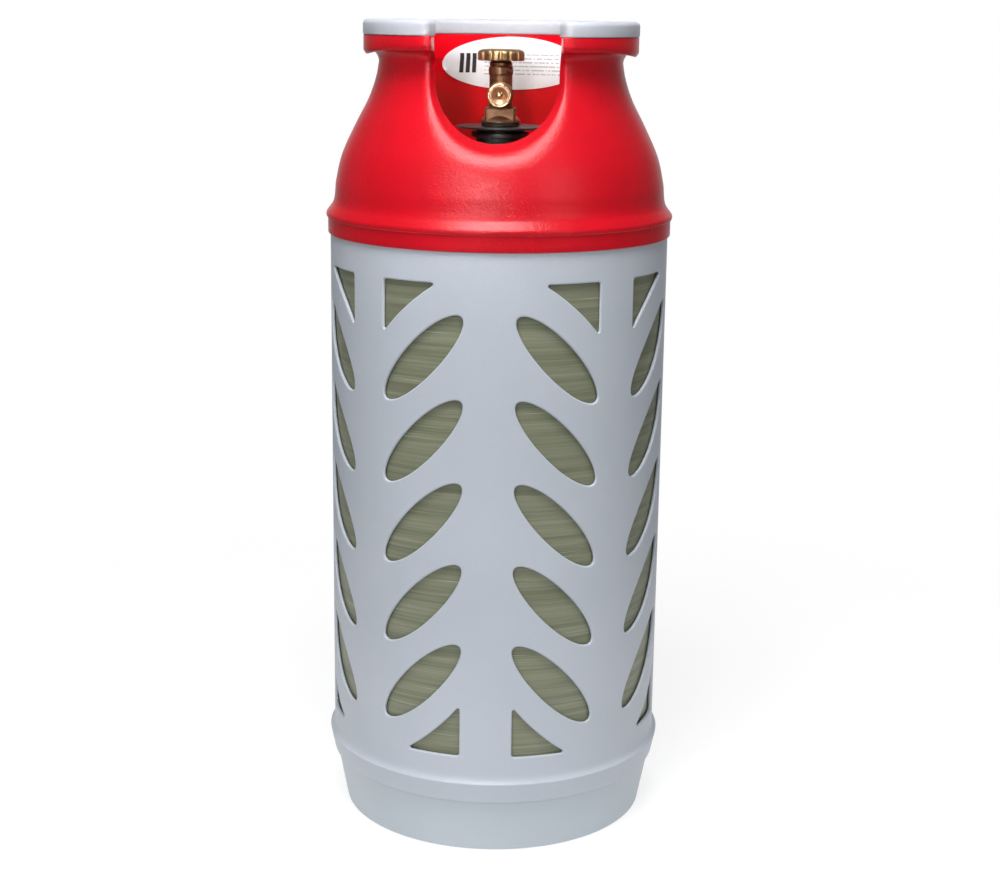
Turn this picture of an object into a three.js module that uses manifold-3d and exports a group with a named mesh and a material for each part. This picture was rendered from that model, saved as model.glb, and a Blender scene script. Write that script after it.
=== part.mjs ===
// Composite propane cylinder for caravans: a wound glass-fibre vessel in a moulded casing,
// with a brass handwheel valve inside an open-fronted shroud.
// Millimetres, +Z up, origin on the floor under the middle of the foot; the front is -Y.
import * as THREE from 'three';
import { mergeVertices } from 'three/addons/utils/BufferGeometryUtils.js';
import Module from 'manifold-3d';

const wasm = await Module();
wasm.setup();

// ---------- driving dimensions ----------
const gap = 0.3; // clearance between pieces that touch
const casingSteps = 28; // facets round the casing and the vessel
const bossSteps = 20; // facets round the neck boss
const valveSteps = 18; // facets round the valve

const foot = { bottomRadius: 136.8, topRadius: 146, seamHeight: 49.3, wall: 3, ringWidth: 7.8, bowlGap: 2.6 };
const sleeve = {
  skirtRadius: 148.5, skirtBottom: 49.6, beadRadius: 152.3, beadHeight: 67.8, filletTop: 83,
  radius: 148.4, wall: 3.2, rebateHeight: 528, rebateRadius: 146.9, top: 540.6,
};
const windowGrid = {
  planes: 4, turn: -0.7, offset: 22.9, rows: 5, firstRow: 153.9, pitch: 70.73,
  halfLength: 51.3, halfWidth: 15.5, tilt: 46, steps: 10,
};
const topTriangle = { near: 15.7, far: 37.8, low: 453.4, high: 501.2, corner: 3.5, bow: 3 };
const bottomTriangle = { near: 8.5, far: 29.2, low: 90.8, high: 140.3, corner: 3.5, bow: 3 };
const shroud = {
  bottom: 526.7, bandRadius: 150.5, bandTop: 540.6, beadRadius: 151.9, wall: 3,
  lipRadius: 118.9, lipUnderside: 680.5, top: 696,
};
const notch = { halfWidth: 51.25, straightFrom: 662, flange: 10 };
const collar = { outerRadius: 119.3, innerRadius: 101.5, bottom: 696.3, top: 709, openAngle: 28.8, round: 4.2 };
const tongue = { inner: 108.9, outer: 111.7, depth: 4 };
const label = { halfWidth: 63, halfHeight: 24, height: 669.9, turn: 4, thickness: 0.8 };

const vessel = { radius: 144.7, low: 92, high: 535, dome: 72, wall: 3.2, linerWall: 2.2, mouth: 19.3 };
const boss = { neck: 21.3, flange: 25.3, bottom: 606.8, flangeLow: 609.8, flangeTop: 613.8, discRadius: 39.2, discTop: 619 };
const insert = { innerRadius: 13.1, outerRadius: 16.5, bottom: 590, flangeRadius: 24, flangeTop: 593.5 };
const tail = { radius: 8, height: 20, collarRadius: 11, bottom: 13.5 };

const washer = { radius: 16.75, thickness: 2.4 };
const valve = {
  shankRadius: 12.8, shankBottom: 592, inletBore: 3.5, flangeRadius: 17.3, flangeTop: 624.7, coneTop: 628,
  block: 26.5, blockTop: 635.3, columnRadius: 10, bulgeLow: 663.6, bulgeRadius: 10.6, top: 670,
  seatHeight: 640, chamberRadius: 6.5, bonnetBore: 8.2, bonnetBoreLow: 657.4,
};
const outlet = {
  height: 646.4, length: 32, threadRadius: 10.9, mouthRadius: 10.3, socketRadius: 8.3, socketDepth: 8.5,
  chamberRadius: 4.6, chamberDepth: 22.5, passage: 3.2,
};
const spindle = {
  lift: 3.5, plugRadius: 6.2, plugNeck: 4.8, plugBottom: 642.9, threadFrom: 649, plugTop: 654.2,
  slotBottom: 646, slotWidth: 2.8, tongueWidth: 2.2, tongueLength: 7, tongueBottom: 650,
  flangeRadius: 6, flangeBottom: 658, flangeTop: 660, stemRadius: 3.7, square: 5, squareTop: 680.2,
  threadRadius: 2.4, top: 683.6,
};
const bonnet = { shankRadius: 7.9, bottom: 661.3, collarRadius: 9.4, collarLow: 670.3, top: 674.4, bore: 4 };
const wheel = { radius: 20.4, bottom: 674.8, top: 684.8, ribs: 16, flute: 1.1, rim: 3.2, recess: 5.5 };
const poppet = { headRadius: 4.1, headLow: 21.2, headHigh: 22.8, noseRadius: 2, noseEnd: 28, travel: 2.5 };
const spring = { radius: 3.3, wire: 0.5, turns: 4.5, from: 10.4, to: 20.4 };

const finishes = {
  casingGrey: { color: 0xb9bec4, roughness: 0.55, metalness: 0 },
  casingRed: { color: 0xd4101c, roughness: 0.4, metalness: 0 },
  winding: { color: 0x8a8f6a, roughness: 0.35, metalness: 0 },
  linerWhite: { color: 0xe8e6dc, roughness: 0.5, metalness: 0 },
  blackPlastic: { color: 0x17181a, roughness: 0.5, metalness: 0 },
  rubber: { color: 0x101010, roughness: 0.8, metalness: 0 },
  brass: { color: 0x9a7347, roughness: 0.35, metalness: 0.9 },
  copper: { color: 0xb06a48, roughness: 0.3, metalness: 0.9 },
  steel: { color: 0xb4b6b8, roughness: 0.35, metalness: 0.9 },
  nylon: { color: 0xece8dc, roughness: 0.5, metalness: 0 },
  paper: { color: 0xf2f2ee, roughness: 0.6, metalness: 0 },
};

// ---------- solids ----------
function cleanMesh(geometry) {
  const bare = geometry.index ? geometry.toNonIndexed() : geometry.clone();
  for (const name of Object.keys(bare.attributes)) {
    if (name !== 'position') bare.deleteAttribute(name);
  }
  const merged = mergeVertices(bare, 1e-4);
  const corners = merged.index.array;
  const kept = [];
  for (let i = 0; i < corners.length; i += 3) {
    const [a, b, c] = [corners[i], corners[i + 1], corners[i + 2]];
    if (a !== b && b !== c && c !== a) kept.push(a, b, c);
  }
  merged.setIndex(kept);
  return outward(merged);
}

function outward(geometry) {
  const points = geometry.attributes.position;
  const corners = geometry.index.array;
  const [a, b, c] = [new THREE.Vector3(), new THREE.Vector3(), new THREE.Vector3()];
  let volume = 0;
  for (let i = 0; i < corners.length; i += 3) {
    a.fromBufferAttribute(points, corners[i]);
    b.fromBufferAttribute(points, corners[i + 1]);
    c.fromBufferAttribute(points, corners[i + 2]);
    volume += a.dot(b.cross(c));
  }
  if (volume < 0) {
    const turned = Array.from(corners);
    for (let i = 0; i < turned.length; i += 3) {
      [turned[i + 1], turned[i + 2]] = [turned[i + 2], turned[i + 1]];
    }
    geometry.setIndex(turned);
  }
  return geometry;
}

function toSolid(geometry) {
  const clean = cleanMesh(geometry);
  const vertProperties = new Float32Array(clean.attributes.position.array);
  const triVerts = new Uint32Array(clean.index.array);
  return new wasm.Manifold(new wasm.Mesh({ numProp: 3, vertProperties, triVerts }));
}

function toGeometry(solid) {
  const mesh = solid.getMesh();
  const geometry = new THREE.BufferGeometry();
  geometry.setAttribute('position', new THREE.BufferAttribute(new Float32Array(mesh.vertProperties), 3));
  geometry.setIndex(Array.from(mesh.triVerts));
  geometry.computeVertexNormals();
  return geometry;
}

function join(first, ...others) {
  return toGeometry(others.reduce((sum, other) => sum.add(toSolid(other)), toSolid(first)));
}

function cut(first, ...others) {
  return toGeometry(others.reduce((rest, other) => rest.subtract(toSolid(other)), toSolid(first)));
}

function common(first, second) {
  return toGeometry(toSolid(first).intersect(toSolid(second)));
}

// ---------- basic shapes ----------
const flat = (pairs) => pairs.map(([x, y]) => new THREE.Vector2(x, y));

// A turned piece about Z. The profile holds [radius, height] pairs and closes on itself.
function turned(pairs, steps = casingSteps) {
  const profile = flat(pairs);
  profile.push(profile[0].clone());
  const geometry = new THREE.LatheGeometry(profile, steps);
  return cleanMesh(geometry.rotateX(Math.PI / 2));
}

// A round bar between two heights, with its own radius at each end.
function bar(low, high, radius, topRadius = radius, steps = valveSteps) {
  return turned([[0, low], [radius, low], [topRadius, high], [0, high]], steps);
}

function ring(inner, outer, low, high, steps = valveSteps) {
  return turned([[inner, low], [outer, low], [outer, high], [inner, high]], steps);
}

function block(width, depth, low, high) {
  return new THREE.BoxGeometry(width, depth, high - low).translate(0, 0, (low + high) / 2);
}

// Turns a piece made along +Z so that it runs along -Y from the valve's axis at outlet height.
function alongOutlet(geometry) {
  return geometry.rotateX(Math.PI / 2).translate(0, 0, outlet.height);
}

function arc(centreX, centreY, radius, from, to, steps) {
  return Array.from({ length: steps + 1 }, (_, i) => {
    const angle = THREE.MathUtils.degToRad(from + ((to - from) * i) / steps);
    return [centreX + radius * Math.cos(angle), centreY + radius * Math.sin(angle)];
  });
}

// Points of one dome quarter, from the wall to the mouth radius; side is +1 for the top, -1 below.
function domePoints(radius, depth, mouth, side, steps = 4) {
  const start = side > 0 ? vessel.high : vessel.low;
  const end = Math.acos(mouth / radius);
  return Array.from({ length: steps + 1 }, (_, i) => {
    const angle = (end * i) / steps;
    return [radius * Math.cos(angle), start + side * depth * Math.sin(angle)];
  });
}

// ---------- shroud outline ----------
const shoulder = new THREE.SplineCurve(flat([
  [144.2, 556], [142.9, 573], [137.6, 595], [125.8, 620.5], [114.6, 642], [108, 660], [105, 672],
]));

function shoulderPoints(inset, steps = 6) {
  return Array.from({ length: steps + 1 }, (_, i) => {
    const point = shoulder.getPoint(i / steps);
    const tangent = shoulder.getTangent(i / steps);
    return [point.x - tangent.y * inset, point.y + tangent.x * inset];
  });
}

// ---------- casing ----------
function makeBaseCup() {
  const inner = { radius: vessel.radius + foot.bowlGap, depth: vessel.dome + foot.bowlGap };
  const under = { radius: inner.radius + foot.wall, depth: inner.depth + foot.wall };
  const bowl = (shape, fromRadius, toRadius) => Array.from({ length: 5 }, (_, i) => {
    const r = fromRadius + ((toRadius - fromRadius) * i) / 4;
    return [r, vessel.low - shape.depth * Math.sqrt(1 - (r / shape.radius) ** 2)];
  });
  const rim = foot.seamHeight + 16.5;
  const rebate = sleeve.radius - sleeve.wall - gap;
  const insideTop = foot.topRadius - foot.wall;
  const insideFoot = foot.bottomRadius - foot.wall;
  const ringInner = foot.bottomRadius - foot.ringWidth;
  const profile = [
    [ringInner, 0], [foot.bottomRadius - 1.5, 0], [foot.bottomRadius, 1.5],
    [foot.topRadius, foot.seamHeight - 1], [foot.topRadius, foot.seamHeight],
    [rebate, foot.seamHeight], [rebate, rim], [rebate - foot.wall, rim], [rebate - foot.wall, 52.5],
    ...bowl(inner, 119, 20), ...bowl(under, 20, 117), [insideTop, 49], [insideFoot + 0.8, 4], [ringInner, 4],
  ];
  return turned(profile);
}

// The hollow curve that leads from the lower bead's edge into the tube.
function beadFillet() {
  const out = sleeve.beadRadius - sleeve.radius;
  const rise = sleeve.filletTop - sleeve.beadHeight;
  const radius = (rise ** 2 + out ** 2) / (2 * out);
  const sweep = THREE.MathUtils.radToDeg(Math.asin(rise / radius));
  return arc(sleeve.radius + radius, sleeve.filletTop, radius, 180 + sweep, 180, 3);
}

function makeBodySleeve() {
  const inner = sleeve.radius - sleeve.wall;
  const tube = turned([
    [inner, sleeve.skirtBottom], [sleeve.skirtRadius, sleeve.skirtBottom], ...beadFillet(),
    [sleeve.radius, sleeve.rebateHeight], [sleeve.rebateRadius, sleeve.rebateHeight + 0.5],
    [sleeve.rebateRadius, sleeve.top], [inner, sleeve.top],
  ]);
  return toGeometry(makeWindows().reduce((rest, hole) => rest.subtract(toSolid(hole)), toSolid(tube)));
}

// The punched windows: mirrored columns of slanting ellipses with a triangle above and below each.
function makeWindows() {
  const holes = [];
  const place = (shape, angle, height) => {
    const prism = new THREE.ExtrudeGeometry(shape, { depth: 20, bevelEnabled: false, curveSegments: 2 });
    prism.rotateX(Math.PI / 2).translate(0, -sleeve.radius + 10, height);
    holes.push(prism.rotateZ(THREE.MathUtils.degToRad(angle)));
  };
  for (let plane = 0; plane < windowGrid.planes; plane += 1) {
    for (const side of [-1, 1]) {
      const middle = windowGrid.turn + plane * (360 / windowGrid.planes);
      const tilt = THREE.MathUtils.degToRad(-side * windowGrid.tilt);
      for (let row = 0; row < windowGrid.rows; row += 1) {
        const outline = new THREE.EllipseCurve(
          0, 0, windowGrid.halfLength, windowGrid.halfWidth, 0, 2 * Math.PI, false, tilt,
        );
        const shape = new THREE.Shape(outline.getPoints(windowGrid.steps).slice(0, -1));
        place(shape, middle + side * windowGrid.offset, windowGrid.firstRow + row * windowGrid.pitch);
      }
      const upper = triangleOutline(topTriangle, side, -1);
      place(upper.shape, middle + side * upper.angle, upper.height);
      const lower = triangleOutline(bottomTriangle, side, 1);
      place(lower.shape, middle + side * lower.angle, lower.height);
    }
  }
  return holes;
}

// A right triangle with rounded corners and a hollow long edge. The square corner is at the far
// top for the upper row and at the near bottom for the lower row.
function triangleOutline(size, side, upward) {
  const angle = (size.near + size.far) / 2;
  const height = (size.low + size.high) / 2;
  const halfWide = sleeve.radius * Math.sin(THREE.MathUtils.degToRad((size.far - size.near) / 2));
  const halfTall = (size.high - size.low) / 2;
  const corner = size.corner;
  const squareX = -side * upward * halfWide;
  const squareY = -upward * halfTall;
  const alongX = -Math.sign(squareX);
  const alongY = -Math.sign(squareY);
  const shape = new THREE.Shape();
  shape.moveTo(squareX + alongX * corner, squareY);
  shape.lineTo(-squareX - alongX * 2 * corner, squareY);
  shape.quadraticCurveTo(-squareX, squareY, -squareX - alongX * corner, squareY + alongY * corner);
  shape.quadraticCurveTo(
    alongX * -size.bow, alongY * -size.bow, squareX + alongX * corner, -squareY - alongY * corner,
  );
  shape.quadraticCurveTo(squareX, -squareY, squareX, -squareY - alongY * 2 * corner);
  shape.lineTo(squareX, squareY + alongY * corner);
  shape.quadraticCurveTo(squareX, squareY, squareX + alongX * corner, squareY);
  return { shape, angle, height };
}

function notchPrism(halfWidth, top) {
  const shape = new THREE.Shape();
  shape.moveTo(-halfWidth, top);
  shape.lineTo(-halfWidth, notch.straightFrom);
  shape.absarc(0, notch.straightFrom, halfWidth, Math.PI, 2 * Math.PI, false);
  shape.lineTo(halfWidth, top);
  const prism = new THREE.ExtrudeGeometry(shape, { depth: 110, bevelEnabled: false, curveSegments: 10 });
  return prism.rotateX(Math.PI / 2).translate(0, -55, 0);
}

function makeTopShroud() {
  const { bandRadius, bandTop, beadRadius, lipRadius, lipUnderside, top, wall } = shroud;
  const lip = [
    ...arc(113.5, 672, lipUnderside - 672, 180, 90, 2).slice(1), [lipRadius - 2, lipUnderside + 0.5],
    [lipRadius, lipUnderside + 3], [lipRadius, top],
  ];
  const groove = [
    [tongue.outer + gap, top], [tongue.outer + gap, top - tongue.depth],
    [tongue.inner - gap, top - tongue.depth], [tongue.inner - gap, top],
  ];
  const inside = shoulderPoints(wall, 5).reverse();
  const shell = turned([
    [sleeve.radius + 0.4, shroud.bottom], [bandRadius, shroud.bottom], [bandRadius, bandTop],
    [beadRadius, bandTop + 1], [beadRadius, bandTop + 3.4], [150.4, bandTop + 6.2], ...shoulderPoints(0), ...lip, ...groove, [collar.innerRadius + 0.5, top],
    ...inside, [144.8, sleeve.top + gap], [sleeve.rebateRadius + gap, sleeve.top + gap],
    [sleeve.rebateRadius + gap, sleeve.rebateHeight + 1], [sleeve.radius + 0.4, sleeve.rebateHeight + 0.6],
  ]);
  const band = turned([
    ...shoulderPoints(0), ...lip, [105 - notch.flange, top], ...shoulderPoints(notch.flange, 5).reverse(),
  ]);
  const opening = notchPrism(notch.halfWidth, top + 20);
  const rim = toSolid(notchPrism(notch.halfWidth + wall, top)).subtract(toSolid(opening));
  const grooveRing = ring(tongue.inner - gap, tongue.outer + gap, top - tongue.depth, top + 1, casingSteps);
  const flange = rim.intersect(toSolid(band)).subtract(toSolid(grooveRing));
  return toGeometry(toSolid(shell).subtract(toSolid(opening)).add(flange));
}

function makeCollarRing() {
  const { outerRadius, innerRadius, bottom, top, round, openAngle } = collar;
  const profile = [
    [innerRadius, bottom], [tongue.inner, bottom], [tongue.inner, bottom - tongue.depth + gap],
    [tongue.outer, bottom - tongue.depth + gap], [tongue.outer, bottom], [outerRadius, bottom],
    ...arc(outerRadius - round, top - round, round, 0, 90, 2),
    ...arc(innerRadius + round, top - round, round, 90, 180, 2),
  ];
  const half = Math.tan(THREE.MathUtils.degToRad(openAngle)) * 160;
  const wedge = new THREE.Shape(flat([[0, 0], [half, -160], [-half, -160]]));
  const opening = new THREE.ExtrudeGeometry(wedge, { depth: 40, bevelEnabled: false }).translate(0, 0, bottom - 15);
  return cut(turned(profile), opening);
}

// A thin plate that follows the shroud's inner wall at the back.
function makeOvalLabel() {
  const { wall } = shroud;
  const lift = wall + gap;
  const skin = turned([
    ...shoulderPoints(lift, 12).slice(6), [collar.innerRadius + 0.2, shroud.top],
    [collar.innerRadius + 0.2 - label.thickness, shroud.top],
    ...shoulderPoints(lift + label.thickness, 12).slice(6).reverse(),
  ]);
  const outline = new THREE.EllipseCurve(0, 0, label.halfWidth, label.halfHeight, 0, 2 * Math.PI);
  const shape = new THREE.Shape(outline.getPoints(20).slice(0, -1));
  const prism = new THREE.ExtrudeGeometry(shape, { depth: 130, bevelEnabled: false });
  prism.rotateX(Math.PI / 2).translate(0, 160, label.height);
  prism.rotateZ(-THREE.MathUtils.degToRad(label.turn));
  return common(skin, prism);
}

// ---------- pressure vessel ----------
function makeCompositeShell() {
  const { radius, dome, wall, mouth } = vessel;
  const tailMouth = tail.radius + gap;
  return turned([
    ...domePoints(radius, dome, tailMouth, -1).reverse(), ...domePoints(radius, dome, mouth, 1),
    ...domePoints(radius - wall, dome - wall, mouth, 1).reverse(),
    ...domePoints(radius - wall, dome - wall, tailMouth, -1),
  ]);
}

function makeLiner() {
  const outside = { radius: vessel.radius - vessel.wall - gap, depth: vessel.dome - vessel.wall - gap };
  const inside = { radius: outside.radius - vessel.linerWall, depth: outside.depth - vessel.linerWall };
  const neckInner = insert.outerRadius + gap;
  const neckOuter = vessel.mouth - gap;
  const wellRadius = tail.radius + gap;
  const wellTop = vessel.low - outside.depth + 11;
  return turned([
    [0, wellTop], [wellRadius, wellTop], ...domePoints(outside.radius, outside.depth, wellRadius, -1).reverse(),
    ...domePoints(outside.radius, outside.depth, neckOuter, 1), [neckOuter, boss.discTop - 3],
    [neckInner, boss.discTop - 3], [neckInner, vessel.high + inside.depth - 3],
    ...domePoints(inside.radius, inside.depth, insert.flangeRadius + 4, 1).reverse(),
    ...domePoints(inside.radius, inside.depth, wellRadius + vessel.linerWall, -1),
    [wellRadius + vessel.linerWall, wellTop + vessel.linerWall], [0, wellTop + vessel.linerWall],
  ]);
}

function makeNeckBoss() {
  const inner = vessel.mouth;
  const { neck, flange, flangeLow, flangeTop, discRadius, discTop } = boss;
  return turned([
    [inner, boss.bottom], [neck, boss.bottom], [neck, flangeLow - 0.4], [flange, flangeLow], [flange, flangeTop],
    [neck, flangeTop + 0.6], [neck, flangeTop + 1.8], [discRadius - 1, discTop - 1.6],
    [discRadius, discTop - 1], [discRadius, discTop - 0.3], [discRadius - 0.3, discTop],
    [insert.outerRadius + gap, discTop], [insert.outerRadius + gap, discTop - 2.6], [inner, discTop - 2.6],
  ], bossSteps);
}

function makeBossInsert() {
  const { innerRadius, outerRadius, bottom, flangeRadius, flangeTop } = insert;
  return turned([
    [innerRadius, bottom], [flangeRadius, bottom], [flangeRadius, flangeTop], [outerRadius, flangeTop],
    [outerRadius, 603.6], [15.2, 603.6], [15.2, 606], [outerRadius, 606], [outerRadius, boss.discTop],
    [innerRadius, boss.discTop],
  ], bossSteps);
}

function oRing(radius, wire, height, steps = valveSteps) {
  return cleanMesh(new THREE.TorusGeometry(radius, wire, 6, steps)).translate(0, 0, height);
}

// ---------- valve ----------
function makeValveBody() {
  const seat = boss.discTop + washer.thickness + 2 * gap;
  const stem = turned([
    [0, valve.shankBottom], [valve.shankRadius - 1, valve.shankBottom], [valve.shankRadius, valve.shankBottom + 1],
    [valve.shankRadius, seat], [valve.flangeRadius, seat], [valve.flangeRadius, valve.flangeTop],
    [13, valve.coneTop], [0, valve.coneTop],
  ], valveSteps);
  const column = turned([
    [0, valve.coneTop], [valve.columnRadius, valve.coneTop], [valve.columnRadius, valve.bulgeLow - 1],
    [valve.bulgeRadius, valve.bulgeLow + 0.5], [valve.bulgeRadius, valve.top - 0.8],
    [valve.bulgeRadius - 0.8, valve.top], [0, valve.top],
  ], valveSteps);
  const barrel = alongOutlet(turned([
    [0, 0], [9.4, 0], [9.4, 12.5], [outlet.threadRadius, 13.5], [outlet.threadRadius, outlet.length - 0.8],
    [outlet.mouthRadius, outlet.length], [0, outlet.length],
  ], valveSteps));
  const flats = block(valve.block, valve.block, seat + 2, valve.blockTop);
  const solid = join(stem, flats, column, barrel);
  const inlet = bar(valve.shankBottom - 5, valve.seatHeight + 1, valve.inletBore);
  const chamber = bar(valve.seatHeight, valve.top, valve.chamberRadius);
  const bonnetBore = bar(valve.bonnetBoreLow, valve.top + 5, valve.bonnetBore);
  const passage = alongOutlet(bar(2, outlet.length, outlet.passage));
  const poppetBore = alongOutlet(bar(spring.from - gap, outlet.length, outlet.chamberRadius));
  const socket = alongOutlet(bar(outlet.length - outlet.socketDepth, outlet.length + 5, outlet.socketRadius));
  const pinHole = bonnetPin(0.3);
  return cut(solid, inlet, chamber, bonnetBore, passage, poppetBore, socket, pinHole);
}

// The small locking pin that stops the bonnet from unscrewing, 43 degrees round from the front.
function bonnetPin(clearance) {
  const pin = turned([[0, bonnet.shankRadius + 0.8 - clearance], [1.4 + clearance, bonnet.shankRadius + 0.8 - clearance],
    [1.4 + clearance, valve.bulgeRadius + 1.2], [0, valve.bulgeRadius + 1.2]], 10);
  return pin.rotateX(Math.PI / 2).rotateZ(THREE.MathUtils.degToRad(43)).translate(0, 0, 667);
}

function makeBonnet() {
  const { shankRadius, bottom, collarRadius, collarLow, top, bore } = bonnet;
  return turned([
    [bore, bottom], [shankRadius, bottom], [shankRadius, collarLow], [collarRadius, collarLow],
    [collarRadius, top - 0.6], [collarRadius - 0.6, top], [bore, top],
  ], valveSteps);
}

function makeLowerSpindle() {
  const plug = turned([
    [0, spindle.plugBottom], [spindle.plugNeck, spindle.plugBottom], [spindle.plugNeck, spindle.threadFrom],
    [spindle.plugRadius, spindle.threadFrom], [spindle.plugRadius, spindle.plugTop], [0, spindle.plugTop],
  ], valveSteps);
  return cut(plug, block(spindle.slotWidth, 20, spindle.slotBottom, spindle.plugTop + 5));
}

function makeUpperSpindle() {
  const stem = turned([
    [0, spindle.flangeBottom], [spindle.flangeRadius, spindle.flangeBottom],
    [spindle.flangeRadius, spindle.flangeTop], [spindle.stemRadius, spindle.flangeTop],
    [spindle.stemRadius, 665.8], [2.55, 665.8], [2.55, 668.2], [spindle.stemRadius, 668.2],
    [spindle.stemRadius, bonnet.top], [0, bonnet.top],
  ], valveSteps);
  const tongueBlade = block(spindle.tongueWidth, spindle.tongueLength, spindle.tongueBottom, spindle.flangeBottom + 1);
  const square = block(spindle.square, spindle.square, bonnet.top - 1, spindle.squareTop);
  const thread = bar(spindle.squareTop - 1, spindle.top, spindle.threadRadius, spindle.threadRadius, 12);
  return join(stem, tongueBlade, square, thread);
}

function makeHandwheel() {
  const { radius, bottom, top, ribs, flute, rim, recess } = wheel;
  const outline = [];
  for (let rib = 0; rib < ribs; rib += 1) {
    const pitch = (2 * Math.PI) / ribs;
    for (const [turn, depth] of [[-0.22, 0], [0.22, 0], [0.34, flute], [0.66, flute]]) {
      const angle = (rib + turn) * pitch - Math.PI / 2;
      outline.push([(radius - depth) * Math.cos(angle), (radius - depth) * Math.sin(angle)]);
    }
  }
  const knurl = new THREE.ExtrudeGeometry(new THREE.Shape(flat(outline)), { depth: top - bottom, bevelEnabled: false });
  knurl.translate(0, 0, bottom);
  const crown = turned([
    [0, bottom], [radius + 1, bottom], [radius + 1, top - 3.4], [radius - 0.6, top - 1.8], [radius - 2.8, top - 0.5],
    [8, top], [0, top],
  ], 32);
  const hollow = ring(9, radius - rim, bottom - 1, bottom + recess, 24);
  const nutPocket = bar(top - 4.2, top + 2, 6);
  const squareHole = block(spindle.square + 0.6, spindle.square + 0.6, bottom - 1, top);
  const body = toSolid(knurl).intersect(toSolid(crown));
  return toGeometry(body.subtract(toSolid(hollow)).subtract(toSolid(nutPocket)).subtract(toSolid(squareHole)));
}

function makeWheelNut() {
  const low = wheel.top - 4.2 + gap + 0.7 + gap;
  const hexagon = bar(low, wheel.top - 0.6, 4.4, 4.4, 6);
  return cut(hexagon, bar(low - 1, wheel.top, spindle.threadRadius + 0.2, spindle.threadRadius + 0.2, 12));
}

// ---------- outlet check ----------
function makeOutletInsert() {
  const back = outlet.length - outlet.socketDepth + gap;
  const front = outlet.length - 0.6;
  const bore = 3.4;
  return alongOutlet(turned([
    [bore, back], [outlet.socketRadius - gap, back], [outlet.socketRadius - gap, front],
    [outlet.socketRadius - 0.7, front], [bore, front - 6.2],
  ], valveSteps));
}

function makePoppet() {
  const { headRadius, headLow, headHigh, noseRadius, noseEnd } = poppet;
  return alongOutlet(turned([
    [0, headLow], [headRadius, headLow], [headRadius, headHigh], [noseRadius, headHigh + 0.4],
    [noseRadius, noseEnd - 0.8], [noseRadius - 0.8, noseEnd], [0, noseEnd],
  ], 16));
}

function makeCheckSpring() {
  const path = new THREE.Curve();
  const rise = spring.to - spring.from - 2 * spring.wire;
  path.getPoint = (t, target = new THREE.Vector3()) => {
    const angle = 2 * Math.PI * spring.turns * t;
    const along = spring.from + spring.wire + rise * t;
    return target.set(spring.radius * Math.cos(angle), spring.radius * Math.sin(angle), along);
  };
  const section = new THREE.Shape(new THREE.EllipseCurve(0, 0, spring.wire, spring.wire).getPoints(5).slice(0, -1));
  const steps = Math.round(spring.turns * 9);
  const coil = new THREE.ExtrudeGeometry(section, { steps, extrudePath: path, bevelEnabled: false });
  return alongOutlet(cleanMesh(coil));
}

// ---------- assembly ----------
const cylinder = new THREE.Group();
const materials = Object.fromEntries(
  Object.entries(finishes).map(([name, finish]) => [name, new THREE.MeshStandardMaterial(finish)]),
);

function addPiece(name, geometry, finish) {
  const mesh = new THREE.Mesh(geometry, materials[finish]);
  mesh.name = name;
  cylinder.add(mesh);
}

const washerLow = boss.discTop + gap;
const nutWasherLow = wheel.top - 4.2 + gap;

addPiece('base_cup', makeBaseCup(), 'casingGrey');
addPiece('body_sleeve', makeBodySleeve(), 'casingGrey');
addPiece('top_shroud', makeTopShroud(), 'casingRed');
addPiece('collar_ring', makeCollarRing(), 'casingGrey');
addPiece('oval_label', makeOvalLabel(), 'paper');
addPiece('composite_shell', makeCompositeShell(), 'winding');
addPiece('liner', makeLiner(), 'linerWhite');
addPiece('neck_boss', makeNeckBoss(), 'blackPlastic');
addPiece('boss_insert', makeBossInsert(), 'brass');
addPiece('boss_oring', oRing(16, 0.5, 604.8, bossSteps), 'rubber');
addPiece('tail_boss', turned([
  [0, tail.bottom], [tail.collarRadius, tail.bottom], [tail.collarRadius, tail.bottom + 5.5],
  [tail.radius, tail.bottom + 5.5], [tail.radius, tail.bottom + tail.height], [0, tail.bottom + tail.height],
], bossSteps), 'blackPlastic');
addPiece('valve_washer', ring(13.2, washer.radius, washerLow, washerLow + washer.thickness, 24), 'rubber');
addPiece('valve_body', makeValveBody(), 'brass');
addPiece('bonnet', makeBonnet(), 'brass');
addPiece('bonnet_lock_pin', bonnetPin(0), 'steel');
addPiece('thrust_washer', ring(4.1, 7.8, spindle.flangeTop + gap, bonnet.bottom - gap), 'nylon');
addPiece('upper_spindle', makeUpperSpindle(), 'brass');
addPiece('spindle_oring', oRing(3.3, 0.45, 667, 16), 'rubber');
addPiece('lower_spindle', makeLowerSpindle(), 'brass');
addPiece('seat_pad', bar(valve.seatHeight + gap, spindle.plugBottom - gap, 4.6), 'nylon');
addPiece('handwheel', makeHandwheel(), 'brass');
addPiece('wheel_washer', ring(2.8, 5.4, nutWasherLow, nutWasherLow + 0.7), 'steel');
addPiece('wheel_nut', makeWheelNut(), 'steel');
addPiece('outlet_insert', makeOutletInsert(), 'copper');
addPiece('check_poppet', makePoppet(), 'brass');
addPiece('check_spring', makeCheckSpring(), 'steel');

export default cylinder;
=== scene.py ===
from math import acos, asin, atan2, cos, pi, radians, sin, sqrt, tan

import bmesh
import bpy
from mathutils import Matrix, Vector


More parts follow.
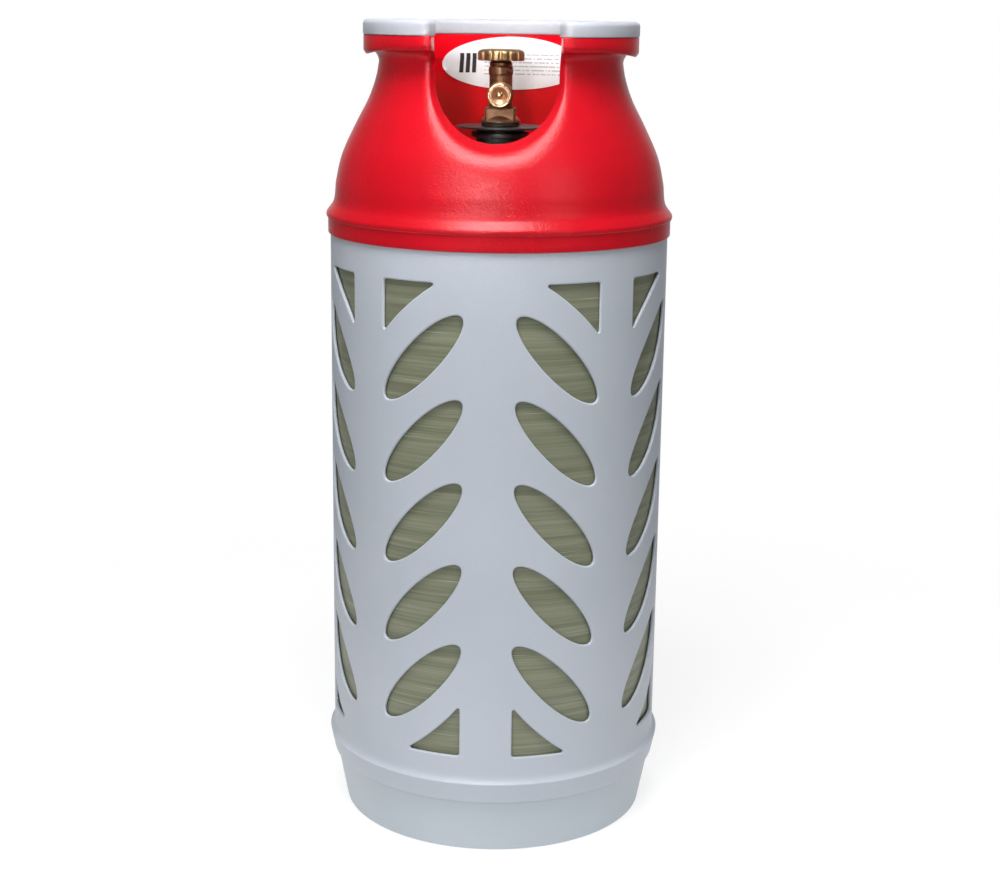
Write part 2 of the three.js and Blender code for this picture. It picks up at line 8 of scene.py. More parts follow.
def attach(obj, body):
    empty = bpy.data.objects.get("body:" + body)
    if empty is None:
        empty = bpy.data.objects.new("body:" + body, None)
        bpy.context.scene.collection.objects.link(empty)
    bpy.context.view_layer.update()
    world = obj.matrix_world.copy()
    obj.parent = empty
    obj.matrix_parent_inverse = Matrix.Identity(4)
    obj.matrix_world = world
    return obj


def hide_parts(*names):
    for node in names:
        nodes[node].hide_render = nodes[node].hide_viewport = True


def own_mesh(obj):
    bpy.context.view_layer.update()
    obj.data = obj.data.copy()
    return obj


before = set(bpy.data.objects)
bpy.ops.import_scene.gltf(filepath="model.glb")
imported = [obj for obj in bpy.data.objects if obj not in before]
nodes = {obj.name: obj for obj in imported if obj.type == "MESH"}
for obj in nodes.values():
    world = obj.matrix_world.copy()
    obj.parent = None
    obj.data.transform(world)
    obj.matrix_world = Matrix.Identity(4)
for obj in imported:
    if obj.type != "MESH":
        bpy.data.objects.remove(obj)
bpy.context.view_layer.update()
mm = 0.001
print("frame loaded,", len(nodes), "nodes")


# ---- camera: the whole cylinder from slightly above, almost straight at the notch ----
cameraSettings = {
    "distance": 1591.6, "height": 714.2, "around": 1.95, "yaw": 0.106, "down": 13.165, "roll": 0.693,
    "lens": 64.81, "sensor": 36,
}


def placeCamera(s):
    around = radians(s["around"])
    data = bpy.data.cameras.new("viewCamera")
    data.lens = s["lens"]
    data.sensor_width = s["sensor"]
    camera = bpy.data.objects.new("viewCamera", data)
    bpy.context.collection.objects.link(camera)
    spot = Vector((s["distance"] * sin(around), -s["distance"] * cos(around), s["height"])) * mm
    turn = (
        Matrix.Rotation(around - radians(s["yaw"]), 4, "Z")
        @ Matrix.Rotation(radians(90 - s["down"]), 4, "X")
        @ Matrix.Rotation(radians(s["roll"]), 4, "Z")
    )
    camera.matrix_world = Matrix.Translation(spot) @ turn
    bpy.context.scene.camera = camera


placeCamera(cameraSettings)


# ---- shaping helpers, all in millimetres until a piece is finished ----
def onRing(radius, angle, height):  # angle in degrees from the front, positive towards +X
    turn = radians(angle)
    return Vector((radius * sin(turn), -radius * cos(turn), height))


def smooth(value, low=0.0, high=1.0):
    t = min(1.0, max(0.0, (value - low) / (high - low)))
    return t * t * (3 - 2 * t)


def roundedPath(corners, closed=True, steps=4):
    # corners are (x, y) or (x, y, radius); a rounded corner becomes a short arc
    points = []
    count = len(corners)
    for i, corner in enumerate(corners):
        here = Vector(corner[:2])
        radius = corner[2] if len(corner) > 2 else 0
        if radius == 0 or (not closed and i in (0, count - 1)):
            points.append(here)
            continue
        toBefore = (Vector(corners[i - 1][:2]) - here).normalized()
        toAfter = (Vector(corners[(i + 1) % count][:2]) - here).normalized()
        half = toBefore.angle(toAfter) / 2
        centre = here + (toBefore + toAfter).normalized() * (radius / sin(half))
        first = here + toBefore * (radius / tan(half)) - centre
        last = here + toAfter * (radius / tan(half)) - centre
        start = atan2(first.y, first.x)
        sweep = (atan2(last.y, last.x) - start + pi) % (2 * pi) - pi
        for k in range(steps + 1):
            angle = start + sweep * k / steps
            points.append(centre + Vector((cos(angle), sin(angle))) * radius)
    return points


def smoothCurve(points, perSpan=4):
    # an even curve through the given points
    out = []
    for i in range(len(points) - 1):
        a = Vector(points[max(i - 1, 0)])
        b = Vector(points[i])
        c = Vector(points[i + 1])
        d = Vector(points[min(i + 2, len(points) - 1)])
        for k in range(perSpan):
            t = k / perSpan
            out.append(0.5 * (2 * b + (c - a) * t + (2 * a - 5 * b + 4 * c - d) * t * t
                              + (3 * b - a - 3 * c + d) * t ** 3))
    out.append(Vector(points[-1]))
    return out


def valueAt(height, points):  # radius of an upward profile at a height
    if height <= points[0].y:
        return points[0].x
    for low, high in zip(points, points[1:]):
        if height <= high.y:
            share = (height - low.y) / max(high.y - low.y, 1e-6)
            return low.x + (high.x - low.x) * share
    return points[-1].x


def spun(shape, points, steps, closed=True, start=0.0, sweep=360.0):
    # turns a profile of (radius, height) points about Z
    verts = [shape.verts.new(onRing(p.x, start, p.y)) for p in points]
    pairs = list(zip(verts, verts[1:]))
    if closed:
        pairs.append((verts[-1], verts[0]))
    edges = [shape.edges.new(pair) for pair in pairs]
    bmesh.ops.spin(shape, geom=verts + edges, cent=(0, 0, 0), axis=(0, 0, 1), angle=radians(sweep),
                   steps=steps, use_merge=sweep == 360.0, use_duplicate=False)
    return shape


def turnedShape(corners, steps=96, closed=True, roundSteps=4):
    shape = spun(bmesh.new(), roundedPath(corners, closed, roundSteps), steps, closed)
    bmesh.ops.remove_doubles(shape, verts=shape.verts, dist=1e-3)
    bmesh.ops.recalc_face_normals(shape, faces=shape.faces)
    return shape


def addShape(target, other):  # moves another shape's parts into target
    mesh = bpy.data.meshes.new("part")
    other.to_mesh(mesh)
    other.free()
    target.from_mesh(mesh)
    bpy.data.meshes.remove(mesh)
    return target


def bevelled(shape, edges, size, segments=3):
    bmesh.ops.bevel(shape, geom=edges, offset=size, offset_type="OFFSET", affect="EDGES", segments=segments,
                    profile=0.5, material=-1, clamp_overlap=True)
    return shape


def alongOutlet(shape):  # a part made along +Z is laid along -Y at the outlet's height
    bmesh.ops.rotate(shape, cent=(0, 0, 0), matrix=Matrix.Rotation(radians(90), 3, "X"), verts=shape.verts)
    bmesh.ops.translate(shape, vec=(0, 0, valveSettings["outletHeight"]), verts=shape.verts)
    return shape


def toMesh(name, shape, tidy=True):
    if tidy:
        bmesh.ops.remove_doubles(shape, verts=shape.verts, dist=1e-3)
        bmesh.ops.recalc_face_normals(shape, faces=shape.faces)
    bmesh.ops.scale(shape, vec=(mm, mm, mm), verts=shape.verts)
    mesh = bpy.data.meshes.new(name)
    shape.to_mesh(mesh)
    shape.free()
    return mesh


def addPiece(name, shape, body="cylinder", replaced=(), finish=(), crease=38, tidy=True):
    mesh = toMesh(name, shape, tidy)
    mesh.shade_smooth()
    if crease:
        mesh.set_sharp_from_angle(angle=radians(crease))
    for material in finish:
        mesh.materials.append(material)
    piece = bpy.data.objects.new(name, mesh)
    bpy.context.collection.objects.link(piece)
    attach(piece, body)
    if replaced:
        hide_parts(*replaced)
    return piece


# ---- shader helpers ----
class Wire:  # a socket that can be added, multiplied and so on
    def __init__(self, recipe, socket):
        self.recipe = recipe
        self.socket = socket

    def __add__(self, other):
        return self.recipe.maths("ADD", self, other)

    def __radd__(self, other):
        return self.recipe.maths("ADD", other, self)

    def __sub__(self, other):
        return self.recipe.maths("SUBTRACT", self, other)

    def __rsub__(self, other):
        return self.recipe.maths("SUBTRACT", other, self)

    def __mul__(self, other):
        return self.recipe.maths("MULTIPLY", self, other)

    def __rmul__(self, other):
        return self.recipe.maths("MULTIPLY", other, self)

    def __truediv__(self, other):
        return self.recipe.maths("DIVIDE", self, other)

    def __rtruediv__(self, other):
        return self.recipe.maths("DIVIDE", other, self)

    def __pow__(self, other):
        return self.recipe.maths("POWER", self, other)

    def __gt__(self, other):
        return self.recipe.maths("GREATER_THAN", self, other)

    def __lt__(self, other):
        return self.recipe.maths("LESS_THAN", self, other)


class Recipe:  # one material and the nodes that feed it
    def __init__(self, name, **values):
        self.material = bpy.data.materials.new(name)
        self.material.use_nodes = True
        self.tree = self.material.node_tree
        self.shader = self.tree.nodes["Principled BSDF"]
        self.coords = None
        for socket, value in values.items():
            self.shader.inputs[socket.replace("_", " ")].default_value = value

    def node(self, kind, settings=None, inputs=None, output=0):
        made = self.tree.nodes.new(kind)
        for key, value in (settings or {}).items():
            if key == "stops":
                self.setStops(made.color_ramp, value)
            else:
                setattr(made, key, value)
        for key, value in (inputs or {}).items():
            self.feed(made.inputs[key], value)
        return Wire(self, made.outputs[output])

    def setStops(self, ramp, stops):
        while len(ramp.elements) < len(stops):
            ramp.elements.new(0.5)
        for element, (place, value) in zip(ramp.elements, stops):
            element.position = place
            element.color = (value, value, value, 1) if isinstance(value, (int, float)) else (*value, 1)

    def feed(self, socket, value):
        if isinstance(value, Wire):
            self.tree.links.new(value.socket, socket)
        else:
            socket.default_value = value

    def maths(self, operation, first, second=0.0):
        return self.node("ShaderNodeMath", {"operation": operation}, {0: first, 1: second})

    def place(self):
        if self.coords is None:
            self.coords = self.node("ShaderNodeTexCoord", output="Object")
        return self.coords

    def stretched(self, scale, vector=None, turn=(0, 0, 0)):
        return self.node("ShaderNodeMapping", None,
                         {"Vector": vector or self.place(), "Scale": scale, "Rotation": turn})

    def noise(self, scale, detail=2.0, rough=0.5, vector=None, distortion=0.0):
        return self.node("ShaderNodeTexNoise", None,
                         {"Vector": vector or self.place(), "Scale": scale, "Detail": detail,
                          "Roughness": rough, "Distortion": distortion})

    def ramp(self, value, stops, interpolation="LINEAR"):
        made = self.node("ShaderNodeValToRGB", {"stops": stops}, {"Fac": value})
        made.socket.node.color_ramp.interpolation = interpolation
        return made

    def grade(self, value, low, high, start=0.0, end=1.0):
        return self.node("ShaderNodeMapRange", {"interpolation_type": "SMOOTHSTEP"},
                         {"Value": value, "From Min": low, "From Max": high, "To Min": start, "To Max": end})

    def blend(self, share, first, second, kind="MIX"):
        one = (*first, 1) if isinstance(first, tuple) and len(first) == 3 else first
        two = (*second, 1) if isinstance(second, tuple) and len(second) == 3 else second
        return self.node("ShaderNodeMix", {"data_type": "RGBA", "blend_type": kind},
                         {0: share, 6: one, 7: two}, 2)

    def axis(self, name, vector=None):
        made = self.node("ShaderNodeSeparateXYZ", None, {"Vector": vector or self.place()})
        return Wire(self, made.socket.node.outputs[name])

    def bump(self, height, strength, distance, under=None):
        inputs = {"Height": height, "Strength": strength, "Distance": distance}
        if under is not None:
            inputs["Normal"] = under
        return self.node("ShaderNodeBump", None, inputs)

    def finish(self, **links):
        for socket, value in links.items():
            self.feed(self.shader.inputs[socket.replace("_", " ")], value)
        return self.material


def fromScreen(red, green, blue):  # a screen colour, 0 to 255, as linear light
    def channel(value):
        share = value / 255
        return share / 12.92 if share <= 0.04045 else ((share + 0.055) / 1.055) ** 2.4
    return (channel(red), channel(green), channel(blue))


# ---- finishes ----
def grainedPlastic(name, base, deeper, grain=1.0, rough=0.42, wear=0.5, shine=0.4):
    # moulded plastic with a fine leather-like grain, soft mottling and a few rub marks
    r = Recipe(name, IOR=1.48, Specular_IOR_Level=shine)
    mottle = r.noise(9, 4, 0.6)
    cloud = r.noise(2.4, 3, 0.5)
    speck = r.noise(900, 2, 0.6)
    pits = r.node("ShaderNodeTexVoronoi", {"feature": "F1"}, {"Vector": r.place(), "Scale": 620.0})
    rubs = r.noise(60, 3, 0.6, r.stretched((1, 1, 9), None, (0, 0.25, 0)))
    rubMask = r.grade(rubs, 0.62, 0.74) * wear
    colour = r.blend(r.grade(mottle, 0.3, 0.75), base, deeper)
    colour = r.blend(r.grade(cloud, 0.35, 0.8) * 0.35, colour, deeper)
    colour = r.blend(r.grade(speck, 0.62, 0.8) * 0.25, colour, tuple(min(1, c * 1.2) for c in base))
    dullness = rough + (mottle - 0.5) * 0.12 + (speck - 0.5) * 0.1 + rubMask * 0.08
    fine = r.bump(pits, 0.16 * grain, 0.0006)
    soft = r.bump(r.noise(260, 3, 0.55), 0.22 * grain, 0.0008, fine)
    slow = r.bump(r.noise(8, 2, 0.5), 0.03, 0.003, soft)
    return r.finish(Base_Color=colour, Roughness=dullness, Normal=slow)


def glossyPlastic(name, base, deeper, rough=0.2, shine=0.5):
    # the smooth inside of the shroud, with slight moulding waves
    r = Recipe(name, IOR=1.5, Specular_IOR_Level=shine)
    cloud = r.noise(7, 3, 0.5)
    dust = r.noise(420, 2, 0.6)
    colour = r.blend(r.grade(cloud, 0.3, 0.75), base, deeper)
    shine = rough + (cloud - 0.5) * 0.12 + r.grade(dust, 0.6, 0.85) * 0.12
    waves = r.bump(r.noise(34, 2, 0.5), 0.06, 0.003)
    fine = r.bump(dust, 0.05, 0.0004, waves)
    return r.finish(Base_Color=colour, Roughness=shine, Normal=fine)


def woundFibre(name, light, dark, pale):
    # glass strands laid round the vessel under clear resin
    r = Recipe(name, IOR=1.52)
    level = r.stretched((2.2, 2.2, 150))
    tilted = r.stretched((2.4, 2.4, 210), None, (radians(7), radians(-5), 0))
    crossed = r.stretched((3.0, 3.0, 120), None, (radians(-9), radians(8), 0))
    bands = r.noise(1.2, 3, 0.6, level)
    strands = r.noise(3.2, 4, 0.65, tilted)
    cross = r.noise(2.6, 3, 0.6, crossed)
    patches = r.noise(11, 3, 0.55)
    scratch = r.noise(5.5, 2, 0.5, r.stretched((1.6, 1.6, 300), None, (radians(14), radians(-12), 0)))
    colour = r.blend(r.grade(bands, 0.3, 0.72), dark, light)
    colour = r.blend(r.grade(strands, 0.45, 0.75) * 0.5, colour, pale)
    colour = r.blend(r.grade(cross, 0.55, 0.8) * 0.3, colour, dark)
    colour = r.blend(r.grade(patches, 0.45, 0.75) * 0.4, colour, light)
    colour = r.blend(r.grade(scratch, 0.66, 0.76) * 0.7, colour, tuple(min(1, c * 1.9) for c in pale))
    shine = 0.3 + strands * 0.16
    fibres = r.bump(strands * 0.6 + bands * 0.4, 0.35, 0.0012)
    lumps = r.bump(r.noise(30, 3, 0.5, r.stretched((1, 1, 4))), 0.2, 0.002, fibres)
    return r.finish(Base_Color=colour, Roughness=shine, Normal=lumps)


def forgedBrass(name, dark, bright, rough=0.34, patina=1.0, grain=1.0, metal=1.0):
    r = Recipe(name, Metallic=metal)
    cloud = r.noise(90, 4, 0.6)
    stain = r.noise(210, 3, 0.65)
    speck = r.noise(1400, 2, 0.6)
    colour = r.blend(r.grade(cloud, 0.3, 0.7), dark, bright)
    colour = r.blend(r.grade(stain, 0.52, 0.78) * (0.55 * patina), colour, tuple(c * 0.35 for c in dark))
    shine = rough + (stain - 0.5) * 0.25 + (speck - 0.5) * 0.12
    pitted = r.bump(speck, 0.25 * grain, 0.0003)
    skin = r.bump(cloud, 0.12 * grain, 0.0008, pitted)
    return r.finish(Base_Color=colour, Roughness=shine, Normal=skin)


def machinedMetal(name, base, rings=0.0, rough=0.22):
    # turned faces, with fine tool rings about Z or along the outlet
    r = Recipe(name, Metallic=1.0)
    cloud = r.noise(160, 3, 0.6)
    fine = r.noise(4200, 1, 0.5, r.stretched((1, 1, 0.1) if rings else (0.1, 0.1, 1)))
    colour = r.blend(r.grade(cloud, 0.3, 0.75) * 0.6, base, tuple(c * 0.6 for c in base))
    shine = rough + (cloud - 0.5) * 0.15 + (fine - 0.5) * 0.1
    return r.finish(Base_Color=colour, Roughness=shine, Normal=r.bump(fine, 0.1, 0.0002))


def blackMoulding(name, base, rough=0.32, grain=0.5):
    r = Recipe(name, IOR=1.5)
    cloud = r.noise(40, 3, 0.6)
    dust = r.noise(800, 2, 0.6)
    colour = r.blend(r.grade(cloud, 0.35, 0.8), base, tuple(c * 1.9 + 0.004 for c in base))
    colour = r.blend(r.grade(dust, 0.72, 0.86) * 0.35, colour, (0.2, 0.19, 0.18))
    shine = rough + (cloud - 0.5) * 0.16 + (dust - 0.5) * 0.12
    return r.finish(Base_Color=colour, Roughness=shine, Normal=r.bump(dust, 0.12 * grain, 0.0004))


def softWhite(name, base, rough=0.5):
    r = Recipe(name, IOR=1.5)
    cloud = r.noise(18, 3, 0.6)
    colour = r.blend(r.grade(cloud, 0.3, 0.8), base, tuple(c * 0.86 for c in base))
    shine = rough + (cloud - 0.5) * 0.14
    return r.finish(Base_Color=colour, Roughness=shine, Normal=r.bump(r.noise(300, 2, 0.5), 0.06, 0.0004))


def printedFilm(name):
    # white film with plain grey bars in place of print; reads the piece's own print map
    r = Recipe(name, IOR=1.5)
    place = r.node("ShaderNodeUVMap", {"uv_map": "print"})
    across = r.axis("X", place)
    up = r.axis("Y", place)

    def inside(value, low, high):
        return (value > low) * (value < high)

    pitch = 3.5
    line = (up + 50.0) / pitch
    lineMask = inside(r.maths("FRACT", line), 0.34, 0.68)
    words = r.noise(1.0, 1, 0.4, r.node("ShaderNodeCombineXYZ", None, {
        0: across * 0.5, 1: r.maths("FLOOR", line) * 7.3}))
    text = lineMask * (words > 0.42) * inside(across, -26, 44.5) * inside(up, -10.6, 10.4)
    bars = inside(r.maths("FRACT", (across + 48.6) / 5.6), 0.08, 0.72)
    marks = bars * inside(across, -48.6, -32.2) * inside(up, -8.6, 9.0)
    ringPlace = r.maths("SQRT", (across - 51.6) * (across - 51.6) + (up - 2.8) * (up - 2.8))
    ring = inside(ringPlace, 3.2, 4.3)
    grime = r.noise(60, 3, 0.6)
    colour = r.blend(r.grade(grime, 0.3, 0.8) * 0.3, (0.93, 0.93, 0.94), (0.8, 0.79, 0.79))
    colour = r.blend(text * 0.55, colour, (0.2, 0.2, 0.22))
    colour = r.blend(marks, colour, (0.035, 0.033, 0.035))
    colour = r.blend(ring, colour, (0.01, 0.12, 0.16))
    shine = 0.34 + (grime - 0.5) * 0.15
    return r.finish(Base_Color=colour, Roughness=shine, Normal=r.bump(r.noise(240, 2, 0.5), 0.05, 0.0004))


greyShell = grainedPlastic("greyShell", fromScreen(184, 190, 199), fromScreen(178, 185, 194), 0.7, 0.44)
greyFoot = grainedPlastic("greyFoot", fromScreen(184, 193, 200), fromScreen(178, 187, 195), 0.6, 0.48)
greyCollar = grainedPlastic("greyCollar", fromScreen(190, 193, 201), fromScreen(184, 187, 195), 0.8, 0.42)
redGrained = grainedPlastic("redGrained", (0.53, 0.0012, 0.01), (0.48, 0.001, 0.008), 1.3, 0.34, 0.4, 0.36)
redGloss = glossyPlastic("redGloss", (0.84, 0.003, 0.012), (0.78, 0.0025, 0.01), 0.17, 0.45)
greenWinding = woundFibre("greenWinding", fromScreen(128, 131, 108), fromScreen(104, 108, 85),
                          fromScreen(154, 160, 138))
castBrass = forgedBrass("castBrass", (0.15, 0.068, 0.034), (0.3, 0.155, 0.075), 0.46, metal=0.75)
cleanBrass = forgedBrass("cleanBrass", (0.62, 0.42, 0.2), (0.86, 0.64, 0.36), 0.26, 0.4, 0.5)
wheelBrass = forgedBrass("wheelBrass", (0.3, 0.185, 0.085), (0.56, 0.38, 0.2), 0.4, 0.6, 0.8, 0.9)
redCopper = machinedMetal("redCopper", (0.62, 0.36, 0.24), 1.0, 0.4)
zincSteel = machinedMetal("zincSteel", (0.66, 0.66, 0.64), 0.0, 0.3)
blackDisc = blackMoulding("blackDisc", (0.012, 0.0105, 0.012))
blackRubber = blackMoulding("blackRubber", (0.011, 0.011, 0.011), 0.6, 1.2)
naturalNylon = softWhite("naturalNylon", (0.8, 0.78, 0.7))
linerWhite = softWhite("linerWhite", (0.82, 0.81, 0.76), 0.44)
labelFilm = printedFilm("labelFilm")
print("finishes ready")

carriedOver = {
    "liner": linerWhite, "boss_insert": cleanBrass, "boss_oring": blackRubber, "thrust_washer": naturalNylon,
    "upper_spindle": cleanBrass, "spindle_oring": blackRubber, "lower_spindle": cleanBrass,
    "seat_pad": naturalNylon,
}


def repaint(node, material):
    slots = nodes[node].material_slots
    for slot in slots:
        slot.material = material
    if not slots:
        nodes[node].data.materials.append(material)


for node, material in carriedOver.items():
    repaint(node, material)


# ---- foot ----
footSettings = {
    "bottom": 136.8, "top": 146.0, "seam": 49.3, "wall": 3.0, "ring": 129.0, "steps": 160,
    "bowlRadius": 147.3, "bowlDepth": 74.6, "bowlCentre": 92.0,
}


def buildFoot(s):
    def bowl(extra, fromRadius, toRadius, count=14):
        out = []
        for i in range(count + 1):
            r = fromRadius + (toRadius - fromRadius) * i / count
            z = s["bowlCentre"] - (s["bowlDepth"] + extra) * sqrt(1 - (r / (s["bowlRadius"] + extra)) ** 2)
            out.append((r, z))
        return out

    outer = [
        (s["ring"], 0, 1.2), (s["bottom"], 0, 2.2), (s["bottom"] + 0.55, 3.2, 1), (s["top"] - 0.5, 46.5, 2),
        (s["top"], s["seam"], 0.5), (144.9, s["seam"], 0.3), (144.9, 65.8, 0.6), (141.9, 65.8, 0.6),
        (141.9, 52.5),
    ]
    inner = [(s["top"] - s["wall"], 48.5, 2), (s["bottom"] - s["wall"] + 0.8, 4, 1), (s["ring"], 4, 0.8)]
    profile = outer + bowl(0, 119, 20) + bowl(s["wall"], 20, 117) + inner
    shape = turnedShape(profile, s["steps"], roundSteps=3)
    return shape


addPiece("footRing", buildFoot(footSettings), replaced=["base_cup"], finish=[greyFoot],
         tidy=False)
print("foot done")


# ---- windowed sleeve ----
sleeveSettings = {
    "radius": 148.4, "wall": 3.2, "turn": -0.7, "seam": 84.0, "top": 540.6, "rebate": 528.0,
    "rebateDrop": 1.5,
    "skirt": 148.5, "skirtLow": 49.6, "bead": 152.3, "beadHeight": 67.8, "hollow": 7.0,
    "rimRound": 1.6, "column": 22.9, "rows": 5, "firstRow": 153.9, "pitch": 70.73,
    "halfLength": 52.5, "halfWidth": 16.7, "tilt": 46.0, "station": 2.5,
    "topTriangle": {"near": 15.4, "far": 38.0, "low": 452.4, "high": 502.0, "square": "far"},
    "lowTriangle": {"near": 8.2, "far": 29.6, "low": 89.9, "high": 141.2, "square": "near"},
    "corner": 4.2, "tip": 2.9, "bow": 3.0,
}


def windowOutlines(s):
    # outlines on the flat sheet: x runs round the sleeve from the arrow line, y is the height
    radius = s["radius"]
    outlines = []
    tilt = radians(s["tilt"])
    middle = radius * radians(s["column"])
    for row in range(s["rows"]):
        points = []
        for k in range(72):
            a = 2 * pi * k / 72
            along = s["halfLength"] * cos(a)
            side = s["halfWidth"] * sin(a)
            x = -along * cos(tilt) + side * sin(tilt)
            y = along * sin(tilt) + side * cos(tilt)
            points.append((middle + radius * asin(x / radius), s["firstRow"] + row * s["pitch"] + y))
        outlines.append(points)
    for key in ("topTriangle", "lowTriangle"):
        t = s[key]
        near = radius * radians(t["near"])
        far = radius * radians(t["far"])
        if t["square"] == "far":  # square corner far from the arrow line, at the top
            corners = [(far, t["high"]), (near, t["high"]), (far, t["low"])]
        else:  # square corner near the arrow line, at the bottom
            corners = [(near, t["low"]), (far, t["low"]), (near, t["high"])]
        outlines.append(hollowTriangle(corners, s["corner"], s["tip"], s["bow"]))
    return outlines


def hollowTriangle(corners, corner, tip, bow):
    # corners[0] is the square one; the edge opposite it bows in towards it
    square, second, third = (Vector(c) for c in corners)
    middle = (second + third) / 2
    inward = (square - middle).normalized()
    path = [(*square, corner), (*second, tip)]
    for k in range(1, 8):
        t = k / 8
        point = second.lerp(third, t) + inward * bow * 4 * t * (1 - t)
        if 0.16 < t < 0.84:
            path.append(tuple(point))
    path.append((*third, tip))
    return [tuple(p) for p in roundedPath(path, True, 7)]


def sleeveSheet(s):
    # one eighth of the sleeve as a flat curve with holes, given its wall and rounded rims
    curve = bpy.data.curves.new("sleeveSheet", "CURVE")
    curve.dimensions = "2D"
    curve.fill_mode = "BOTH"
    curve.bevel_depth = s["rimRound"]
    curve.bevel_resolution = 3
    curve.extrude = s["wall"] / 2 - s["rimRound"]
    width = s["radius"] * pi / 4
    low = s["seam"] - 12
    border = [(-12, low), (width + 12, low), (width + 12, s["top"] + 12), (-12, s["top"] + 12)]
    for outline in [border] + windowOutlines(s):
        spline = curve.splines.new("POLY")
        spline.points.add(len(outline) - 1)
        for point, (x, y) in zip(spline.points, outline):
            point.co = (x, y, 0, 1)
        spline.use_cyclic_u = True
    holder = bpy.data.objects.new("sleeveSheet", curve)
    bpy.context.collection.objects.link(holder)
    depsgraph = bpy.context.evaluated_depsgraph_get()
    mesh = bpy.data.meshes.new_from_object(holder.evaluated_get(depsgraph))
    bpy.data.objects.remove(holder)
    bpy.data.curves.remove(curve)
    shape = bmesh.new()
    shape.from_mesh(mesh)
    bpy.data.meshes.remove(mesh)
    bmesh.ops.remove_doubles(shape, verts=shape.verts, dist=0.01)
    return shape


def cutAt(shape, spot, direction, drop=False):
    geom = shape.verts[:] + shape.edges[:] + shape.faces[:]
    bmesh.ops.bisect_plane(shape, geom=geom, dist=1e-4, plane_co=spot, plane_no=direction, clear_outer=drop)


def skirtProfile(s):
    # inside edge, flat bottom, then up the outside to the crisp bead and the hollow curve above it
    low = s["skirtLow"]
    bead = s["beadHeight"]
    inner = s["radius"] - s["wall"]
    lean = Vector((s["bead"] - s["skirt"], bead - low)).normalized()
    start = Vector((s["skirt"], low))
    end = Vector((s["bead"], bead))
    points = [Vector((inner, s["seam"])), Vector((inner, low + 2)), Vector((inner, low + 0.5)),
              Vector((inner + 0.3, low)), Vector((inner + 1, low)), start - Vector((1.2, 0)),
              start - Vector((0.8, 0)), start + Vector((-0.25, 0.22)), start + lean * 0.8, start + lean * 1.4]
    points += [end - lean * 1.5, end - lean * 0.75, end + Vector((-0.04, 0.1)), end + Vector((-0.3, 0.42)),
               end + Vector((-0.75, 0.66))]
    out = s["bead"] - s["radius"] - 0.75
    rise = s["seam"] - bead - 0.66
    for k in range(1, 19):
        share = 0.02 + 0.98 * (k / 18) ** 1.3
        points.append(Vector((s["radius"] + out * (1 - share) ** s["hollow"], bead + 0.66 + rise * share)))
    return points


def buildSleeve(s):
    shape = sleeveSheet(s)
    radius = s["radius"]
    width = radius * pi / 4
    cutAt(shape, (0, 0, 0), (-1, 0, 0), True)
    cutAt(shape, (width, 0, 0), (1, 0, 0), True)
    cutAt(shape, (0, s["seam"], 0), (0, -1, 0), True)
    cutAt(shape, (0, s["top"], 0), (0, 1, 0), True)
    station = radians(s["station"]) * radius
    for k in range(1, int(45 / s["station"])):
        cutAt(shape, (k * station, 0, 0), (1, 0, 0))
    for height in (s["rebate"], s["rebate"] + 0.4):
        cutAt(shape, (0, height, 0), (0, 1, 0))
    for height in (90, 145, 190, 240, 290, 340, 390, 440, 506):
        cutAt(shape, (0, height, 0), (0, 1, 0))
    bmesh.ops.triangulate(shape, faces=shape.faces[:])
    shape.normal_update()
    half = s["wall"] / 2
    flat = {}  # the sheet's own normals, kept for the bent surface
    for vert in shape.verts:
        if vert.co.z > half - 1e-3:
            flat[vert.index] = Vector((0, 0, 1))
        elif vert.co.z < -half + 1e-3:
            flat[vert.index] = Vector((0, 0, -1))
        else:
            flat[vert.index] = vert.normal.copy()
    layer = shape.verts.layers.float_vector.new("outward")
    for vert in shape.verts:
        angle = vert.co.x / radius
        depth = half - vert.co.z
        drop = s["rebateDrop"] * smooth(vert.co.y, s["rebate"], s["rebate"] + 0.4) * (1 - smooth(depth, 0, 2))
        normal = flat[vert.index]
        bent = Vector((normal.x * cos(angle) + normal.z * sin(angle),
                       normal.x * sin(angle) - normal.z * cos(angle), normal.y))
        vert[layer] = bent
        r = radius - depth - drop
        vert.co = Vector((r * sin(angle), -r * cos(angle), vert.co.y))
    full = bmesh.new()
    fullLayer = full.verts.layers.float_vector.new("outward")
    panel = bpy.data.meshes.new("panel")
    shape.to_mesh(panel)
    shape.free()
    for side in (1, -1):
        for quarter in range(4):
            before = len(full.verts)
            beforeFaces = len(full.faces)
            full.from_mesh(panel)
            full.verts.ensure_lookup_table()
            full.faces.ensure_lookup_table()
            turn = Matrix.Rotation(radians(s["turn"] + 90 * quarter), 3, "Z") @ Matrix.Diagonal((side, 1, 1))
            for vert in full.verts[before:]:
                vert.co = turn @ vert.co
                vert[fullLayer] = turn @ vert[fullLayer]
            if side < 0:
                bmesh.ops.reverse_faces(full, faces=full.faces[beforeFaces:])
    bpy.data.meshes.remove(panel)
    bmesh.ops.remove_doubles(full, verts=full.verts, dist=0.004)
    return full


def buildSkirt(s):
    shape = spun(bmesh.new(), skirtProfile(s), int(360 / s["station"]), False, s["turn"])
    bmesh.ops.remove_doubles(shape, verts=shape.verts, dist=1e-3)
    bmesh.ops.recalc_face_normals(shape, faces=shape.faces)
    shape.normal_update()
    outermost = max(shape.faces, key=lambda f: f.calc_center_median().xy.length)
    if outermost.normal.xy.dot(outermost.calc_center_median().xy) < 0:
        bmesh.ops.reverse_faces(shape, faces=shape.faces)
        shape.normal_update()
    layer = shape.verts.layers.float_vector.new("outward")
    middle = s["radius"] - s["wall"] / 2
    for vert in shape.verts:
        vert[layer] = vert.normal
        if vert.co.z > s["seam"] - 0.01:
            side = 1 if vert.co.xy.length > middle else -1
            vert[layer] = Vector((vert.co.x, vert.co.y, 0)).normalized() * side
    return shape


